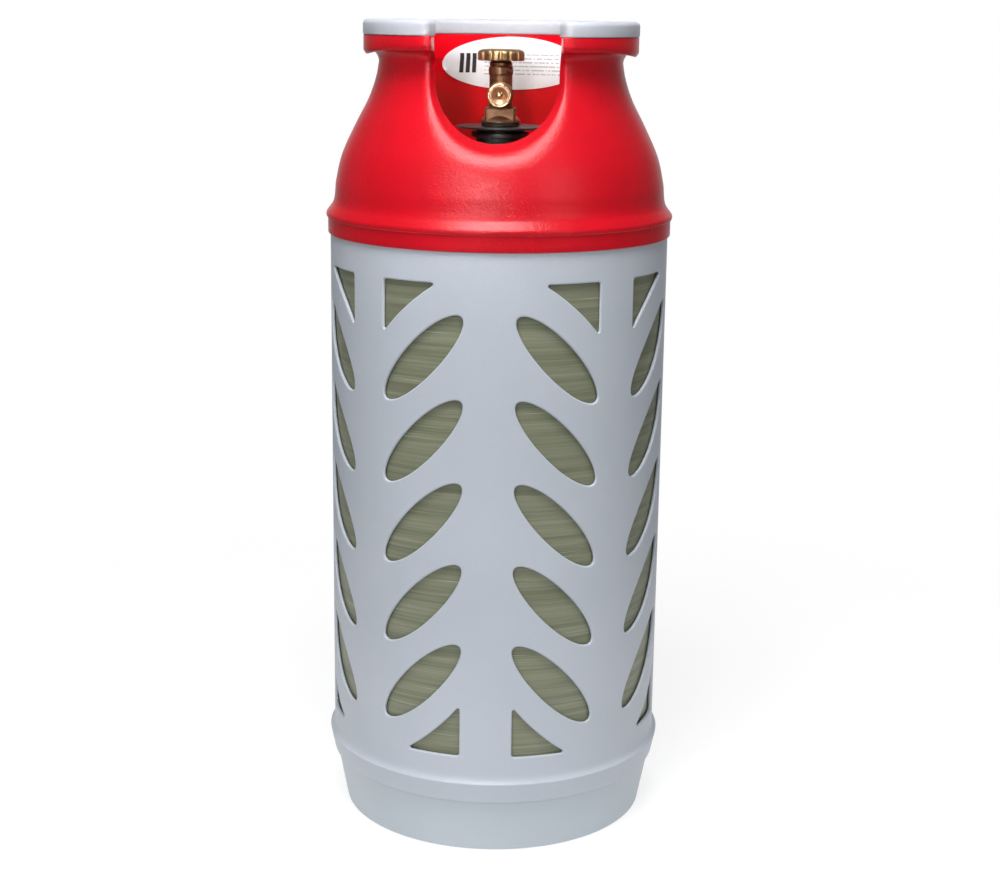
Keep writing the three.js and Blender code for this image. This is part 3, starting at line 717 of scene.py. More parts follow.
def finishSleeve(s):
    full = addShape(buildSleeve(s), buildSkirt(s))
    bmesh.ops.remove_doubles(full, verts=full.verts, dist=0.01)
    layer = full.verts.layers.float_vector["outward"]
    outward = [tuple(Vector(vert[layer]).normalized()) for vert in full.verts]
    piece = addPiece("windowSleeve", full, replaced=["body_sleeve"], finish=[greyShell],
                     crease=0, tidy=False)
    piece.data.normals_split_custom_set_from_vertices(outward)


finishSleeve(sleeveSettings)
print("sleeve done")


# ---- red shroud ----
shroudSettings = {
    "band": 150.5, "bead": 151.9, "bottom": 526.7, "sleeveGap": 148.8, "wall": 3.0, "innerUpright": 102.0,
    "top": 695.9,
    "shoulder": [(151.2, 545.5), (148.9, 548.6), (146.2, 552.5), (144.8, 557), (144.1, 563), (143.0, 573),
        (137.6, 595),
                 (125.8, 620.5), (114.6, 642), (108.2, 660), (105.6, 673.5)],
    "patchLow": 575.0, "patchHalf": 45.0, "station": 1.5,
    "lipFillet": 10.6, "neck": 105.6, "neckHeight": 673.5, "lipRadius": 118.9, "lipLow": 684.0,
    "hookDrop": 5.4,
    "notchHalf": 51.0, "notchFlare": 1.2, "notchStraight": 662.0, "rollSide": 12.0, "rollLow": 26.0,
    "depthSide": 4.5, "depthLow": 7.0, "stripSide": 3.2, "stripLow": 4.8, "stripTop": 1.3,
    "stripDepthSide": 6.0, "stripDepthLow": 8.5,
    "rim": 2.4, "outRows": 12, "rollRows": 8, "stripRows": 3, "rimRows": 5,
}


def shroudLevels(s):
    # (radius, height) points of the outside, from the patch's lower edge up to the top
    curve = [p for p in smoothCurve(s["shoulder"], 5)]
    low = s["patchLow"]
    above = [p for p in curve if p.y > low + 1.5]
    points = [Vector((valueAt(low, curve), low))] + above
    centre = Vector((s["neck"] + s["lipFillet"], s["neckHeight"]))
    for k in range(1, 9):
        a = pi - radians(84) * k / 8
        points.append(centre + Vector((cos(a), sin(a) * 0.99)) * s["lipFillet"])
    lip = [tuple(points[-1]), (116.4, s["lipLow"] + 0.1, 0.9), (118.0, s["lipLow"] + 1.0, 1.4),
           (s["lipRadius"], s["lipLow"] + 4.0, 2.4),
           (s["lipRadius"], s["top"] - 0.6), (s["lipRadius"] - 0.4, s["top"])]
    points += roundedPath(lip, False, 3)[1:]
    return curve, points


outsideCurve, outsideLevels = shroudLevels(shroudSettings)


def shroudInner(height):  # the inside wall's radius at a height
    s = shroudSettings
    best = None
    for low, high in zip(outsideCurve, outsideCurve[1:]):
        run = (high - low).normalized()
        point = low + Vector((-run.y, run.x)) * s["wall"]
        after = high + Vector((-run.y, run.x)) * s["wall"]
        if point.y <= height <= after.y:
            share = (height - point.y) / max(after.y - point.y, 1e-6)
            best = point.x + (after.x - point.x) * share
    if best is None:
        best = s["innerUpright"] if height > 620 else outsideCurve[0].x - s["wall"]
    return max(best, s["innerUpright"])


def innerLevels():
    levels = []
    for p in outsideLevels:
        levels.append(Vector((min(shroudInner(p.y), p.x - 2), p.y)))
    return levels


insideLevels = innerLevels()


def shroudBase(s):
    # the lower band: inside wall, stepped seat on the sleeve, then out and up to the patch's lower edge
    inside = [Vector((insideLevels[0].x, s["patchLow"]))]
    for height in (568, 561, 555, 550, 546):
        inside.append(Vector((shroudInner(height), height)))
    seat = [(144.8, 541.2, 0.3), (147.3, 541.2, 0.3), (147.3, 529.0, 0.3), (s["sleeveGap"], 528.6, 0.2),
            (s["sleeveGap"], s["bottom"], 0.4), (s["band"], s["bottom"], 1.1), (s["band"], 532.0),
            (s["band"], 540.6, 0.5), (s["bead"] - 0.3, 541.1, 0.5), (s["bead"] + 0.1, 542.6, 0.6),
            (s["bead"], 544.2, 1.2)]
    seatPoints = roundedPath([tuple(inside[-1])] + seat + [tuple(outsideCurve[0])], False, 4)[1:-1]
    rest = [p for p in outsideCurve if p.y < s["patchLow"] - 1.5]
    return inside + seatPoints + rest + [outsideLevels[0].copy()]


def edgePoint(s, column):
    # the notch's edge as seen from the front: place, outward direction and how far down the curve it is
    kind, value = column
    if kind == "side":
        height, side = value
        if height >= s["notchStraight"]:
            flare = s["notchFlare"] * smooth(height, s["notchStraight"], s["top"])
            return Vector((side * (s["notchHalf"] + flare), height)), Vector((side, 0)), 0.0
        share = (s["notchStraight"] - height) / (s["notchStraight"] - s["patchLow"])
        angle = radians(55) * share ** 0.95
    else:
        side = 1 if value >= 0 else -1
        angle = radians(55 + 35 * (1 - abs(value) / s["patchHalf"]))
    direction = Vector((side * cos(angle), -sin(angle)))
    return Vector((0, s["notchStraight"])) + direction * s["notchHalf"], direction, sin(angle)


def onOutside(x, z):
    r = valueAt(z, outsideLevels)
    return -sqrt(max(r * r - x * x, 1))


def onInside(x, z):
    r = valueAt(z, insideLevels)
    return -sqrt(max(r * r - x * x, 1))


def frontPatch(s):
    # columns run round the notch, rows run from the outside border over the rolled edge to the inside border
    columns = [("side", (p.y, 1)) for p in reversed(outsideLevels)]
    spans = int(2 * s["patchHalf"] / s["station"])
    columns += [("low", s["patchHalf"] - s["station"] * k) for k in range(1, spans)]
    columns += [("side", (p.y, -1)) for p in outsideLevels]
    rows = 2 * (s["outRows"] + s["rollRows"] + s["stripRows"]) + s["rimRows"]
    shape = bmesh.new()
    grid = bmesh.ops.create_grid(shape, x_segments=len(columns) - 1, y_segments=rows, size=1)["verts"]
    ordered = sorted(grid, key=lambda v: (round(v.co.x, 5), round(v.co.y, 5)))
    total = rows + 1
    for index, column in enumerate(columns):
        path = patchPath(s, column)
        for row in range(total):
            ordered[index * total + row].co = path[row]
    # close the flat top between the outside and inside halves of the first and last columns
    for index in (0, len(columns) - 1):
        line = ordered[index * total:(index + 1) * total]
        for k in range(total // 2):
            a, b = line[k], line[k + 1]
            c, d = line[total - 2 - k], line[total - 1 - k]
            corners = [a, b, c, d] if b is not c else [a, b, d]
            if len(set(corners)) >= 3:
                shape.faces.new(corners)
    return shape


def patchPath(s, column):
    kind, value = column
    edge, direction, down = edgePoint(s, column)
    if kind == "side":
        height, side = value
        phi = side * s["patchHalf"]
    else:
        height = s["patchLow"]
        phi = value
    share = smooth(down)
    width = s["rollSide"] + (s["rollLow"] - s["rollSide"]) * share
    depth = s["depthSide"] + (s["depthLow"] - s["depthSide"]) * share
    strip = s["stripSide"] + (s["stripLow"] - s["stripSide"]) * share
    strip += (s["stripTop"] - s["stripSide"]) * smooth(edge.y, 668, s["top"])
    stripDepth = s["stripDepthSide"] + (s["stripDepthLow"] - s["stripDepthSide"]) * share
    rim = s["rim"]
    start = edge + direction * width
    startPhi = asin(max(-0.95, min(0.95, start.x / valueAt(start.y, outsideLevels))))
    wallDepth = onInside(edge.x, edge.y) - onOutside(edge.x, edge.y) - rim / 2
    if depth + stripDepth < wallDepth:
        stripDepth = wallDepth - depth
    outer = []
    inner = []
    for k in range(s["outRows"] + 1):
        t = k / s["outRows"]
        angle = radians(phi) + (startPhi - radians(phi)) * t
        z = height + (start.y - height) * t
        r = valueAt(z, outsideLevels)
        if k == 0 and kind == "side":
            r = [p.x for p in outsideLevels if abs(p.y - height) < 1e-6][-1]
        outer.append(Vector((r * sin(angle), -r * cos(angle), z)))
        q = valueAt(z, insideLevels)
        inner.append(Vector((q * sin(angle), -q * cos(angle), z)))
    turnEnd = radians(80)
    section = []  # (distance from the edge, depth) along the roll, then down the strip
    for k in range(1, s["rollRows"] + 1):
        a = turnEnd * k / s["rollRows"]
        section.append((width - (width - strip) * sin(a) / sin(turnEnd),
                        depth * (1 - cos(a)) / (1 - cos(turnEnd))))
    for part in (0.06, 0.9, 1.0):
        section.append((strip * (1 - part), depth + stripDepth * part))
    for away, sunk in section:
        spot = edge + direction * away
        outer.append(Vector((spot.x, onOutside(spot.x, spot.y) + sunk, spot.y)))
        spot = edge + direction * (away + rim * sunk / (depth + stripDepth))
        rolled = onOutside(spot.x, spot.y) + sunk + rim * (1 - 0.8 * sunk / (depth + stripDepth))
        inner.append(Vector((spot.x, max(rolled, onInside(spot.x, spot.y)), spot.y)))
    middle = []
    deepest = max(outer[-1].y, inner[-1].y)
    for k in range(1, s["rimRows"]):
        a = pi * k / s["rimRows"]
        spot = edge + direction * (rim / 2 * (1 - cos(a)))
        middle.append(Vector((spot.x, deepest + rim / 2 * sin(a), spot.y)))
    inner[-1].y = max(inner[-1].y, deepest)
    return outer + middle + list(reversed(inner))


def hooked(s, shape):
    # at the sides the grip lip's lower edge hangs lower, as a rounded hook with a hollow under it
    for vert in shape.verts:
        r = vert.co.xy.length
        if r < 112 or not 678 < vert.co.z < 693:
            continue
        phi = abs(atan2(vert.co.x, -vert.co.y))
        aside = smooth(1 - abs(phi - pi / 2) / radians(48))
        low = 1 - smooth(vert.co.z, 687, 694)
        vert.co.z -= s["hookDrop"] * aside * low * smooth(r, 112.5, 117.5)
        vert.co.xy *= 1 - 0.014 * aside * (1 - smooth(vert.co.z, 677.5, 684))


def buildShroud(s):
    shape = bmesh.new()
    steps = int(360 / s["station"])
    front = int(2 * s["patchHalf"] / s["station"])
    base = shroudBase(s)
    spun(shape, base, steps, False, 0)
    loop = outsideLevels + list(reversed(insideLevels))
    back = spun(bmesh.new(), loop, steps - front, False, s["patchHalf"], 360 - 2 * s["patchHalf"])
    addShape(shape, back)
    addShape(shape, frontPatch(s))
    bmesh.ops.remove_doubles(shape, verts=shape.verts, dist=0.02)
    bmesh.ops.recalc_face_normals(shape, faces=shape.faces)
    hooked(s, shape)
    shape.normal_update()
    for face in shape.faces:
        middle = face.calc_center_median()
        inward = face.normal.xy.dot(middle.xy.normalized()) < -0.2
        face.material_index = 1 if inward and middle.z > 546 else 0
    return shape


addPiece("redShroud", buildShroud(shroudSettings), replaced=["top_shroud"],
         finish=[redGrained, redGloss], crease=40, tidy=False)
print("shroud done")


# ---- grey collar ring ----
collarSettings = {
    "outer": 119.3, "inner": 101.5, "bottom": 696.3, "top": 709.0, "open": 28.8, "plan": 5.5, "round": 4.2,
    "tongueInner": 108.9, "tongueOuter": 111.7, "tongueLow": 692.7,
}


def collarOutline(s, steps=140):
    # plan of the open ring with rounded ends
    half = radians(s["open"])
    points = []

    def sweepRound(radius, sign):
        skip = 11.0 / radius
        span = 2 * pi - 2 * half - 2 * skip
        for k in range(steps + 1):
            angle = half + skip + span * k / steps
            points.append((radius * sin(sign * angle), -radius * cos(angle)))

    def corner(radius, sign):
        points.append((radius * sin(sign * half), -radius * cos(half), s["plan"]))

    corner(s["outer"], 1)
    sweepRound(s["outer"], 1)
    corner(s["outer"], -1)
    corner(s["inner"], -1)
    sweepRound(s["inner"], -1)
    corner(s["inner"], 1)
    return roundedPath(points, True, 10)


def buildCollar(s):
    shape = bmesh.new()
    verts = [shape.verts.new((p.x, p.y, s["bottom"])) for p in collarOutline(s)]
    face = shape.faces.new(verts)
    wall = bmesh.ops.extrude_face_region(shape, geom=[face])["geom"]
    raised = [part for part in wall if isinstance(part, bmesh.types.BMVert)]
    bmesh.ops.translate(shape, vec=(0, 0, s["top"] - s["bottom"]), verts=raised)
    bmesh.ops.recalc_face_normals(shape, faces=shape.faces)
    high = [e for e in shape.edges if all(v.co.z > s["top"] - 1e-3 for v in e.verts)]
    bevelled(shape, high, s["round"], 6)
    low = [e for e in shape.edges if all(v.co.z < s["bottom"] + 1e-3 for v in e.verts)]
    bevelled(shape, low, 0.5, 2)
    tongue = [(s["tongueInner"], s["bottom"] + 1), (s["tongueInner"], s["tongueLow"], 0.3),
              (s["tongueOuter"], s["tongueLow"], 0.3), (s["tongueOuter"], s["bottom"] + 1)]
    start = s["open"] + 6
    rib = spun(bmesh.new(), roundedPath(tongue, True, 2), 120, True, start, 360 - 2 * start)
    ends = [e for e in rib.edges if e.is_boundary]
    bmesh.ops.holes_fill(rib, edges=ends, sides=0)
    bmesh.ops.recalc_face_normals(rib, faces=rib.faces)
    addShape(shape, rib)
    return shape


addPiece("collarRing", buildCollar(collarSettings), replaced=["collar_ring"],
         finish=[greyCollar], crease=50, tidy=False)
print("collar done")


# ---- oval film label on the inside wall ----
labelSettings = {"halfWidth": 63.0, "halfHeight": 24.0, "height": 669.9, "turn": 4.0, "thickness": 0.35,
    "off": 0.45}


def buildLabel(s):
    shape = bmesh.new()
    bmesh.ops.create_circle(shape, cap_ends=True, segments=96, radius=1)
    bmesh.ops.scale(shape, vec=(s["halfWidth"], s["halfHeight"], 1), verts=shape.verts)
    for k in range(-24, 25):
        cutAt(shape, (k * 2.5 + 0.01, 0, 0), (1, 0, 0))
    for k in range(-4, 5):
        cutAt(shape, (0, k * 5 + 0.01, 0), (0, 1, 0))
    printMap = shape.loops.layers.uv.new("print")
    for face in shape.faces:
        for loop in face.loops:
            loop[printMap].uv = (loop.vert.co.x, loop.vert.co.y)
    bmesh.ops.solidify(shape, geom=shape.faces[:], thickness=s["thickness"])
    lowest = min(v.co.z for v in shape.verts)
    for vert in shape.verts:
        height = s["height"] + vert.co.y
        radius = shroudInner(height) - s["off"] - (vert.co.z - lowest)
        angle = asin(vert.co.x / 103.5) + radians(s["turn"])
        vert.co = Vector((radius * sin(angle), radius * cos(angle), height))
    return shape


addPiece("ovalLabel", buildLabel(labelSettings), replaced=["oval_label"], finish=[labelFilm],
         crease=60)
print("label done")


# ---- pressure vessel ----
vesselSettings = {
    "radius": 144.7, "low": 92.0, "high": 535.0, "dome": 72.0, "wall": 3.2, "mouth": 19.3, "tailMouth": 8.3,
    "steps": 192,
}


def domeLine(s, inset, mouth, side, count=26):
    centre = s["high"] if side > 0 else s["low"]
    radius = s["radius"] - inset
    depth = s["dome"] - inset
    end = acos(mouth / radius)
    return [(radius * cos(end * k / count),
        centre + side * depth * sin(end * k / count)) for k in range(count + 1)]


def buildVessel(s):
    outside = list(reversed(domeLine(s, 0, s["tailMouth"], -1))) + domeLine(s, 0, s["mouth"], 1)
    inside = list(reversed(domeLine(s, s["wall"], s["mouth"], 1))) + domeLine(s, s["wall"], s["tailMouth"],
        -1)
    return turnedShape(outside + inside, s["steps"])


addPiece("woundVessel", buildVessel(vesselSettings), replaced=["composite_shell"],
         finish=[greenWinding], crease=50)

neckSettings = {"mouth": 19.3, "low": 606.8, "neck": 21.3, "flange": 25.3, "flangeLow": 609.8,
    "flangeTop": 613.8,
                "disc": 39.2, "top": 619.0, "bore": 16.8}


def buildNeck(s):
    r = s["disc"]
    neck = s["neck"]
    top = s["top"]
    return turnedShape([
        (s["mouth"], s["low"], 0.3), (neck, s["low"], 0.3), (neck, s["flangeLow"] - 0.3, 0.4),
        (s["flange"], s["flangeLow"], 0.6), (s["flange"], s["flangeTop"], 0.6),
        (neck, s["flangeTop"] + 0.5, 0.5),
        (neck, s["flangeTop"] + 1.8, 0.5), (r - 1.4, top - 1.6, 0.5), (r, top - 1.0, 0.3),
        (r, top - 0.1, 0.25),
        (r - 0.5, top, 0.2), (r - 2.2, top, 0.3), (r - 2.8, top - 0.5, 0.3), (r - 4.6, top - 0.5, 0.3),
        (r - 5.2, top, 0.3), (22.6, top, 0.3), (22.0, top - 0.6, 0.3), (19.4, top - 0.6, 0.3),
        (18.8, top, 0.3), (s["bore"], top, 0.3), (s["bore"], top - 2.5, 0.2), (s["mouth"], top - 2.5, 0.2),
    ], 120, roundSteps=3)


addPiece("neckDisc", buildNeck(neckSettings), replaced=["neck_boss"],
    finish=[blackDisc])

tailSettings = {"bottom": 13.5, "collar": 11.0, "radius": 8.0, "height": 20.0, "flat": 5.5}


def buildTail(s):
    low = s["bottom"]
    shape = turnedShape([
        (0, low + 1.6), (3.2, low + 1.6, 0.3), (3.8, low, 0.4), (s["collar"], low, 1.2),
        (s["collar"], low + s["flat"], 0.8), (s["radius"], low + s["flat"], 0.4),
        (s["radius"], low + s["height"], 0.6), (0, low + s["height"]),
    ], 72, closed=False, roundSteps=3)
    return shape


addPiece("tailBoss", buildTail(tailSettings), replaced=["tail_boss"],
    finish=[blackDisc])

washerSettings = {"bore": 13.2, "radius": 16.75, "low": 619.3, "high": 621.7}


def buildWasher(s):
    return turnedShape([(s["bore"], s["low"], 0.4), (s["radius"], s["low"], 0.9),
        (s["radius"], s["high"], 0.9),
                        (s["bore"], s["high"], 0.4)], 96)


addPiece("valveWasher", buildWasher(washerSettings), replaced=["valve_washer"],
    finish=[blackRubber])
print("vessel done")


# ---- valve ----
valveSettings = {
    "outletHeight": 646.4, "shank": 12.8, "shankLow": 592.0, "flange": 17.3, "seat": 622.0,
    "flangeTop": 624.9,
    "coneTop": 628.0, "block": 26.5, "blockTop": 635.3, "column": 10.0, "bulge": 10.6, "bulgeLow": 663.6,
    "top": 670.0, "bore": 8.2, "outletLength": 32.0, "thread": 10.9, "threadRoot": 9.9, "pitch": 1.814,
    "socket": 8.3, "socketDepth": 8.5, "chamber": 4.6, "chamberDepth": 22.5,
}


def threadedSkin(root, crest, low, high, pitch, around=48, per=8):
    # a screw thread: a tube of rows whose radius follows the turn and the height
    rows = int((high - low) / pitch * per)
    shape = bmesh.new()
    ring = [shape.verts.new(onRing(root, 360 * k / around, low)) for k in range(around)]
    edges = [shape.edges.new((ring[k], ring[(k + 1) % around])) for k in range(around)]
    for row in range(rows):
        step = bmesh.ops.extrude_edge_only(shape, edges=edges)["geom"]
        fresh = [part for part in step if isinstance(part, bmesh.types.BMVert)]
        edges = [part for part in step if isinstance(part, bmesh.types.BMEdge)
                 and all(v in fresh for v in part.verts)]
        bmesh.ops.translate(shape, vec=(0, 0, (high - low) / rows), verts=fresh)
    for vert in shape.verts:
        turn = atan2(vert.co.x, -vert.co.y) / (2 * pi)
        wave = abs(2 * ((vert.co.z / pitch + turn) % 1) - 1)
        tooth = min(1.0, max(0.0, wave * 1.5 - 0.25))
        fade = smooth(vert.co.z, low, low + pitch) * smooth(-vert.co.z, -high, -high + pitch)
        r = root + (crest - root) * tooth * fade
        flatRun = vert.co.xy.normalized()
        vert.co.x = flatRun.x * r
        vert.co.y = flatRun.y * r
    return shape


def buildStem(s):
    seat = s["seat"]
    parts = turnedShape([
        (3.5, s["shankLow"]), (s["shank"] - 1.2, s["shankLow"], 0.4), (s["shank"], s["shankLow"] + 1.4, 0.4),
        (s["shank"], seat, 0.2), (s["flange"], seat, 0.4), (s["flange"], seat + 1.6, 0.6),
        (s["flange"] - 0.7, s["flangeTop"], 0.8), (12.4, s["coneTop"] + 1.2), (3.5, s["coneTop"] + 1.2),
    ], 96)
    return parts


def buildBlock(s):
    # the square spanner block, its upright corners rounded and its top face inset and raised a little
    size = s["block"]
    low = s["seat"] + 2.0
    high = s["blockTop"] - 1.0
    shape = bmesh.new()
    bmesh.ops.create_cube(shape, size=1)
    bmesh.ops.scale(shape, vec=(size, size, high - low), verts=shape.verts)
    bmesh.ops.translate(shape, vec=(0, 0, (high + low) / 2), verts=shape.verts)
    upright = [e for e in shape.edges if abs(e.verts[0].co.z - e.verts[1].co.z) > 1]
    bevelled(shape, upright, 2.2, 4)
    cap = [f for f in shape.faces if f.normal.z > 0.9]
    bmesh.ops.inset_region(shape, faces=cap, thickness=0.6, depth=0.0, use_even_offset=True)
    bmesh.ops.translate(shape, vec=(0, 0, 0.5), verts=list({v for f in cap for v in f.verts}))
    return shape


def buildColumn(s):
    return turnedShape([
        (s["bore"] - 2, s["coneTop"]), (s["column"] + 1.0, s["coneTop"] + 2),
        (s["column"] + 1.0, s["blockTop"] + 0.2, 0.8),
        (s["column"], s["blockTop"] + 2.0, 1.2), (s["column"] - 0.1, s["bulgeLow"] - 1.6, 0.8),
        (s["bulge"], s["bulgeLow"] + 0.2, 0.7), (s["bulge"], s["top"] - 0.9, 0.6),
        (s["bulge"] - 1.0, s["top"], 0.3),
        (s["bore"], s["top"], 0.2), (s["bore"], 657.4), (s["bore"] - 2, 657.4),
    ], 96)


def buildBarrel(s):
    # forged neck of the outlet, a threaded nose, and the bore seen from the front
    length = s["outletLength"]
    neck = turnedShape([
        (4.0, 4), (11.2, 4), (11.2, 9.0, 1.6), (9.5, 11.4, 1.2), (9.5, 13.0, 0.3),
        (s["threadRoot"], 13.4, 0.2),
        (s["threadRoot"], 15.0), (4.0, 15.0),
    ], 72)
    skin = threadedSkin(s["threadRoot"], s["thread"], 14.2, length - 1.2, s["pitch"])
    addShape(neck, skin)
    nose = turnedShape([
        (s["threadRoot"] - 0.4, length - 3), (s["threadRoot"], length - 1.3, 0.2),
        (s["threadRoot"] + 0.2, length - 0.7, 0.3),
        (s["threadRoot"] - 0.2, length, 0.3), (s["socket"] + 0.5, length, 0.25),
        (s["socket"], length - 0.6, 0.2),
        (s["socket"], length - s["socketDepth"], 0.2), (s["chamber"], length - s["socketDepth"], 0.2),
        (s["chamber"], length - s["chamberDepth"]), (s["chamber"] + 1, length - s["chamberDepth"]),
        (s["chamber"] + 1, length - s["socketDepth"] - 2),
        (s["threadRoot"] - 0.4, length - s["socketDepth"] - 2),
    ], 72)
    for face in nose.faces:  # the machined end of the thread is bright
        if face.normal.z > 0.5 and face.calc_center_median().z > length - 1.5:
            face.material_index = 1
    addShape(neck, nose)
    alongOutlet(neck)
    return neck


def roundBoss(radius, near, far, height, angle, edge=0.5, steps=36):
    # a short round boss standing out sideways from the valve's axis
    shape = turnedShape([(0, near), (radius, near), (radius, far, edge), (0, far)], steps, closed=False)
    bmesh.ops.rotate(shape, cent=(0, 0, 0), matrix=Matrix.Rotation(radians(90), 3, "X"), verts=shape.verts)
    bmesh.ops.rotate(shape, cent=(0, 0, 0), matrix=Matrix.Rotation(radians(angle), 3, "Z"), verts=shape.verts)
    bmesh.ops.translate(shape, vec=(0, 0, height), verts=shape.verts)
    return shape


def pinBoss():
    # a raised ring round the lock pin
    shape = turnedShape([(1.6, 8), (3.2, 8), (3.2, 11.9, 0.5), (2.2, 11.9, 0.2), (1.9, 11.2, 0.2),
        (1.6, 11.2)], 36)
    bmesh.ops.rotate(shape, cent=(0, 0, 0), matrix=Matrix.Rotation(radians(90), 3, "X"), verts=shape.verts)
    bmesh.ops.rotate(shape, cent=(0, 0, 0), matrix=Matrix.Rotation(radians(43), 3, "Z"), verts=shape.verts)
    bmesh.ops.translate(shape, vec=(0, 0, 667), verts=shape.verts)
    return shape


def buildValve(s):
    shape = buildStem(s)
    addShape(shape, buildBlock(s))
    addShape(shape, buildColumn(s))
    addShape(shape, pinBoss())
    addShape(shape, threadedSkin(s["shank"] - 0.6, s["shank"] + 0.1, s["shankLow"] + 2, s["seat"] - 1.5, 1.8))
    addShape(shape, buildBarrel(s))
    return shape


addPiece("valveBody", buildValve(valveSettings), replaced=["valve_body"],
    finish=[castBrass, cleanBrass],
         crease=35)

bonnetSettings = {"bore": 4.0, "shank": 7.9, "low": 661.3, "collar": 9.8, "collarLow": 670.3, "top": 674.4}


def buildBonnet(s):
    shape = turnedShape([
        (s["bore"], s["low"], 0.2), (s["shank"], s["low"], 0.4), (s["shank"], s["collarLow"], 0.1),
        (s["collar"], s["collarLow"], 0.3), (s["collar"], s["top"] - 1.2, 0.5),
        (s["collar"] - 1.3, s["top"], 0.4),
        (s["bore"] + 0.6, s["top"], 0.2), (s["bore"], s["top"] - 0.7, 0.2),
    ], 72)
    return shape


addPiece("bonnetNut", buildBonnet(bonnetSettings), replaced=["bonnet"], finish=[castBrass],
    crease=30)


def buildLockPin():
    return roundBoss(1.4, 8.7, 11.75, 667, 43, 0.25, 24)


addPiece("lockPin", buildLockPin(), replaced=["bonnet_lock_pin"], finish=[zincSteel])

insertSettings = {"bore": 3.4, "radius": 8.0, "back": 23.8, "front": 31.4}


def buildInsert(s):
    shape = turnedShape([
        (s["bore"], s["back"], 0.2), (s["radius"], s["back"], 0.2), (s["radius"], s["front"], 0.2),
        (s["radius"] - 0.9, s["front"], 0.3), (s["bore"] + 0.7, s["front"] - 2.8, 0.5),
        (s["bore"], s["front"] - 3.6, 0.3),
    ], 72)
    return alongOutlet(shape)


addPiece("outletInsert", buildInsert(insertSettings), replaced=["outlet_insert"],
    finish=[redCopper])

poppetSettings = {"head": 4.1, "low": 21.2, "high": 22.8, "nose": 1.7, "end": 28.0}


def buildPoppet(s):
    shape = turnedShape([
        (0, s["low"]), (s["head"], s["low"], 0.3), (s["head"], s["high"], 0.3),
        (s["nose"] + 0.3, s["high"] + 0.3, 0.3),
        (s["nose"], s["high"] + 1.2), (s["nose"], s["end"], 0.9), (0, s["end"]),
    ], 48, closed=False)
    return alongOutlet(shape)


springSettings = {"radius": 3.3, "wire": 0.5, "turns": 4.5, "fixedEnd": 10.4, "freeEnd": 20.4, "travel": 2.5}


def buildSpring(s):
    shape = bmesh.new()
    wire = bmesh.ops.create_circle(shape, segments=12, radius=s["wire"])["verts"]
    bmesh.ops.rotate(shape, cent=(0, 0, 0), matrix=Matrix.Rotation(radians(90), 3, "X"), verts=wire)
    bmesh.ops.translate(shape, vec=(s["radius"], 0, s["fixedEnd"] + s["wire"]), verts=wire)
    steps = int(s["turns"] * 32)
    rise = s["freeEnd"] - s["fixedEnd"] - 2 * s["wire"]
    bmesh.ops.spin(shape, geom=shape.verts[:] + shape.edges[:], cent=(0, 0, 0), axis=(0, 0, 1),
                   dvec=(0, 0, rise / steps), angle=2 * pi * s["turns"], steps=steps)
    bmesh.ops.holes_fill(shape, edges=[e for e in shape.edges if e.is_boundary], sides=0)
    bmesh.ops.recalc_face_normals(shape, faces=shape.faces)
    alongOutlet(shape)
    return shape


spring = addPiece("checkSpring", buildSpring(springSettings), replaced=["check_spring"],
                  finish=[zincSteel], tidy=False)
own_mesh(spring)
addPiece("checkPoppet", buildPoppet(poppetSettings), body="check", replaced=["check_poppet"],
         finish=[cleanBrass])
print("valve done")


# ---- handwheel ----
wheelSettings = {
    "radius": 20.4, "low": 674.8, "top": 684.8, "ribs": 16, "flute": 1.25, "rim": 3.2, "recess": 5.5,
    "pocket": 6.0, "pocketDepth": 4.2, "steps": 256, "square": 5.6,
}


def buildWheel(s):
    r = s["radius"]
    low = s["low"]
    top = s["top"]
    shape = turnedShape([
        (4.2, low + 0.2), (8.6, low + 0.2, 0.4), (9.2, low + s["recess"], 1.2),
        (r - s["rim"] - 0.6, low + s["recess"], 1.4),
        (r - s["rim"], low, 0.6), (r - 0.5, low, 0.5), (r, low + 1.0, 0.5), (r, low + 3), (r, low + 5),
        (r, top - 3.4, 1.8), (r - 1.2, top - 1.5, 1.2), (r - 4.2, top - 0.35, 1.5), (12, top - 0.05),
        (8, top, 0.5),
        (s["pocket"] + 0.4, top, 0.3), (s["pocket"], top - 0.5, 0.2),
        (s["pocket"], top - s["pocketDepth"], 0.3),
        (4.2, top - s["pocketDepth"], 0.2),
    ], s["steps"], roundSteps=4)
    for vert in shape.verts:
        flatRun = vert.co.xy
        radius = flatRun.length
        if radius < r - 2.6:
            continue
        turn = (atan2(vert.co.y, vert.co.x) / (2 * pi) * s["ribs"] + 0.5) % 1
        groove = smooth(0.5 - abs(turn - 0.5) - 0.24, -0.02, 0.17)
        reach = smooth(radius, r - 2.6, r - 0.4)
        fade = smooth(-vert.co.z, -(top - 0.6), -(top - 3.4))
        flatRun = flatRun.normalized() * (radius - s["flute"] * groove * reach * fade)
        vert.co.x = flatRun.x
        vert.co.y = flatRun.y
    return shape


addPiece("handwheelRim", buildWheel(wheelSettings), body="handwheel", replaced=["handwheel"],
         finish=[wheelBrass], crease=35)

nutSettings = {"washerLow": 680.9, "washerHigh": 681.6, "washer": 5.4, "bore": 2.8, "low": 681.9,
    "top": 684.2,
               "across": 4.4, "hole": 2.6}


def buildNutWasher(s):
    return turnedShape([(s["bore"], s["washerLow"], 0.15), (s["washer"], s["washerLow"], 0.2),
                        (s["washer"], s["washerHigh"], 0.2), (s["bore"], s["washerHigh"], 0.15)], 48)


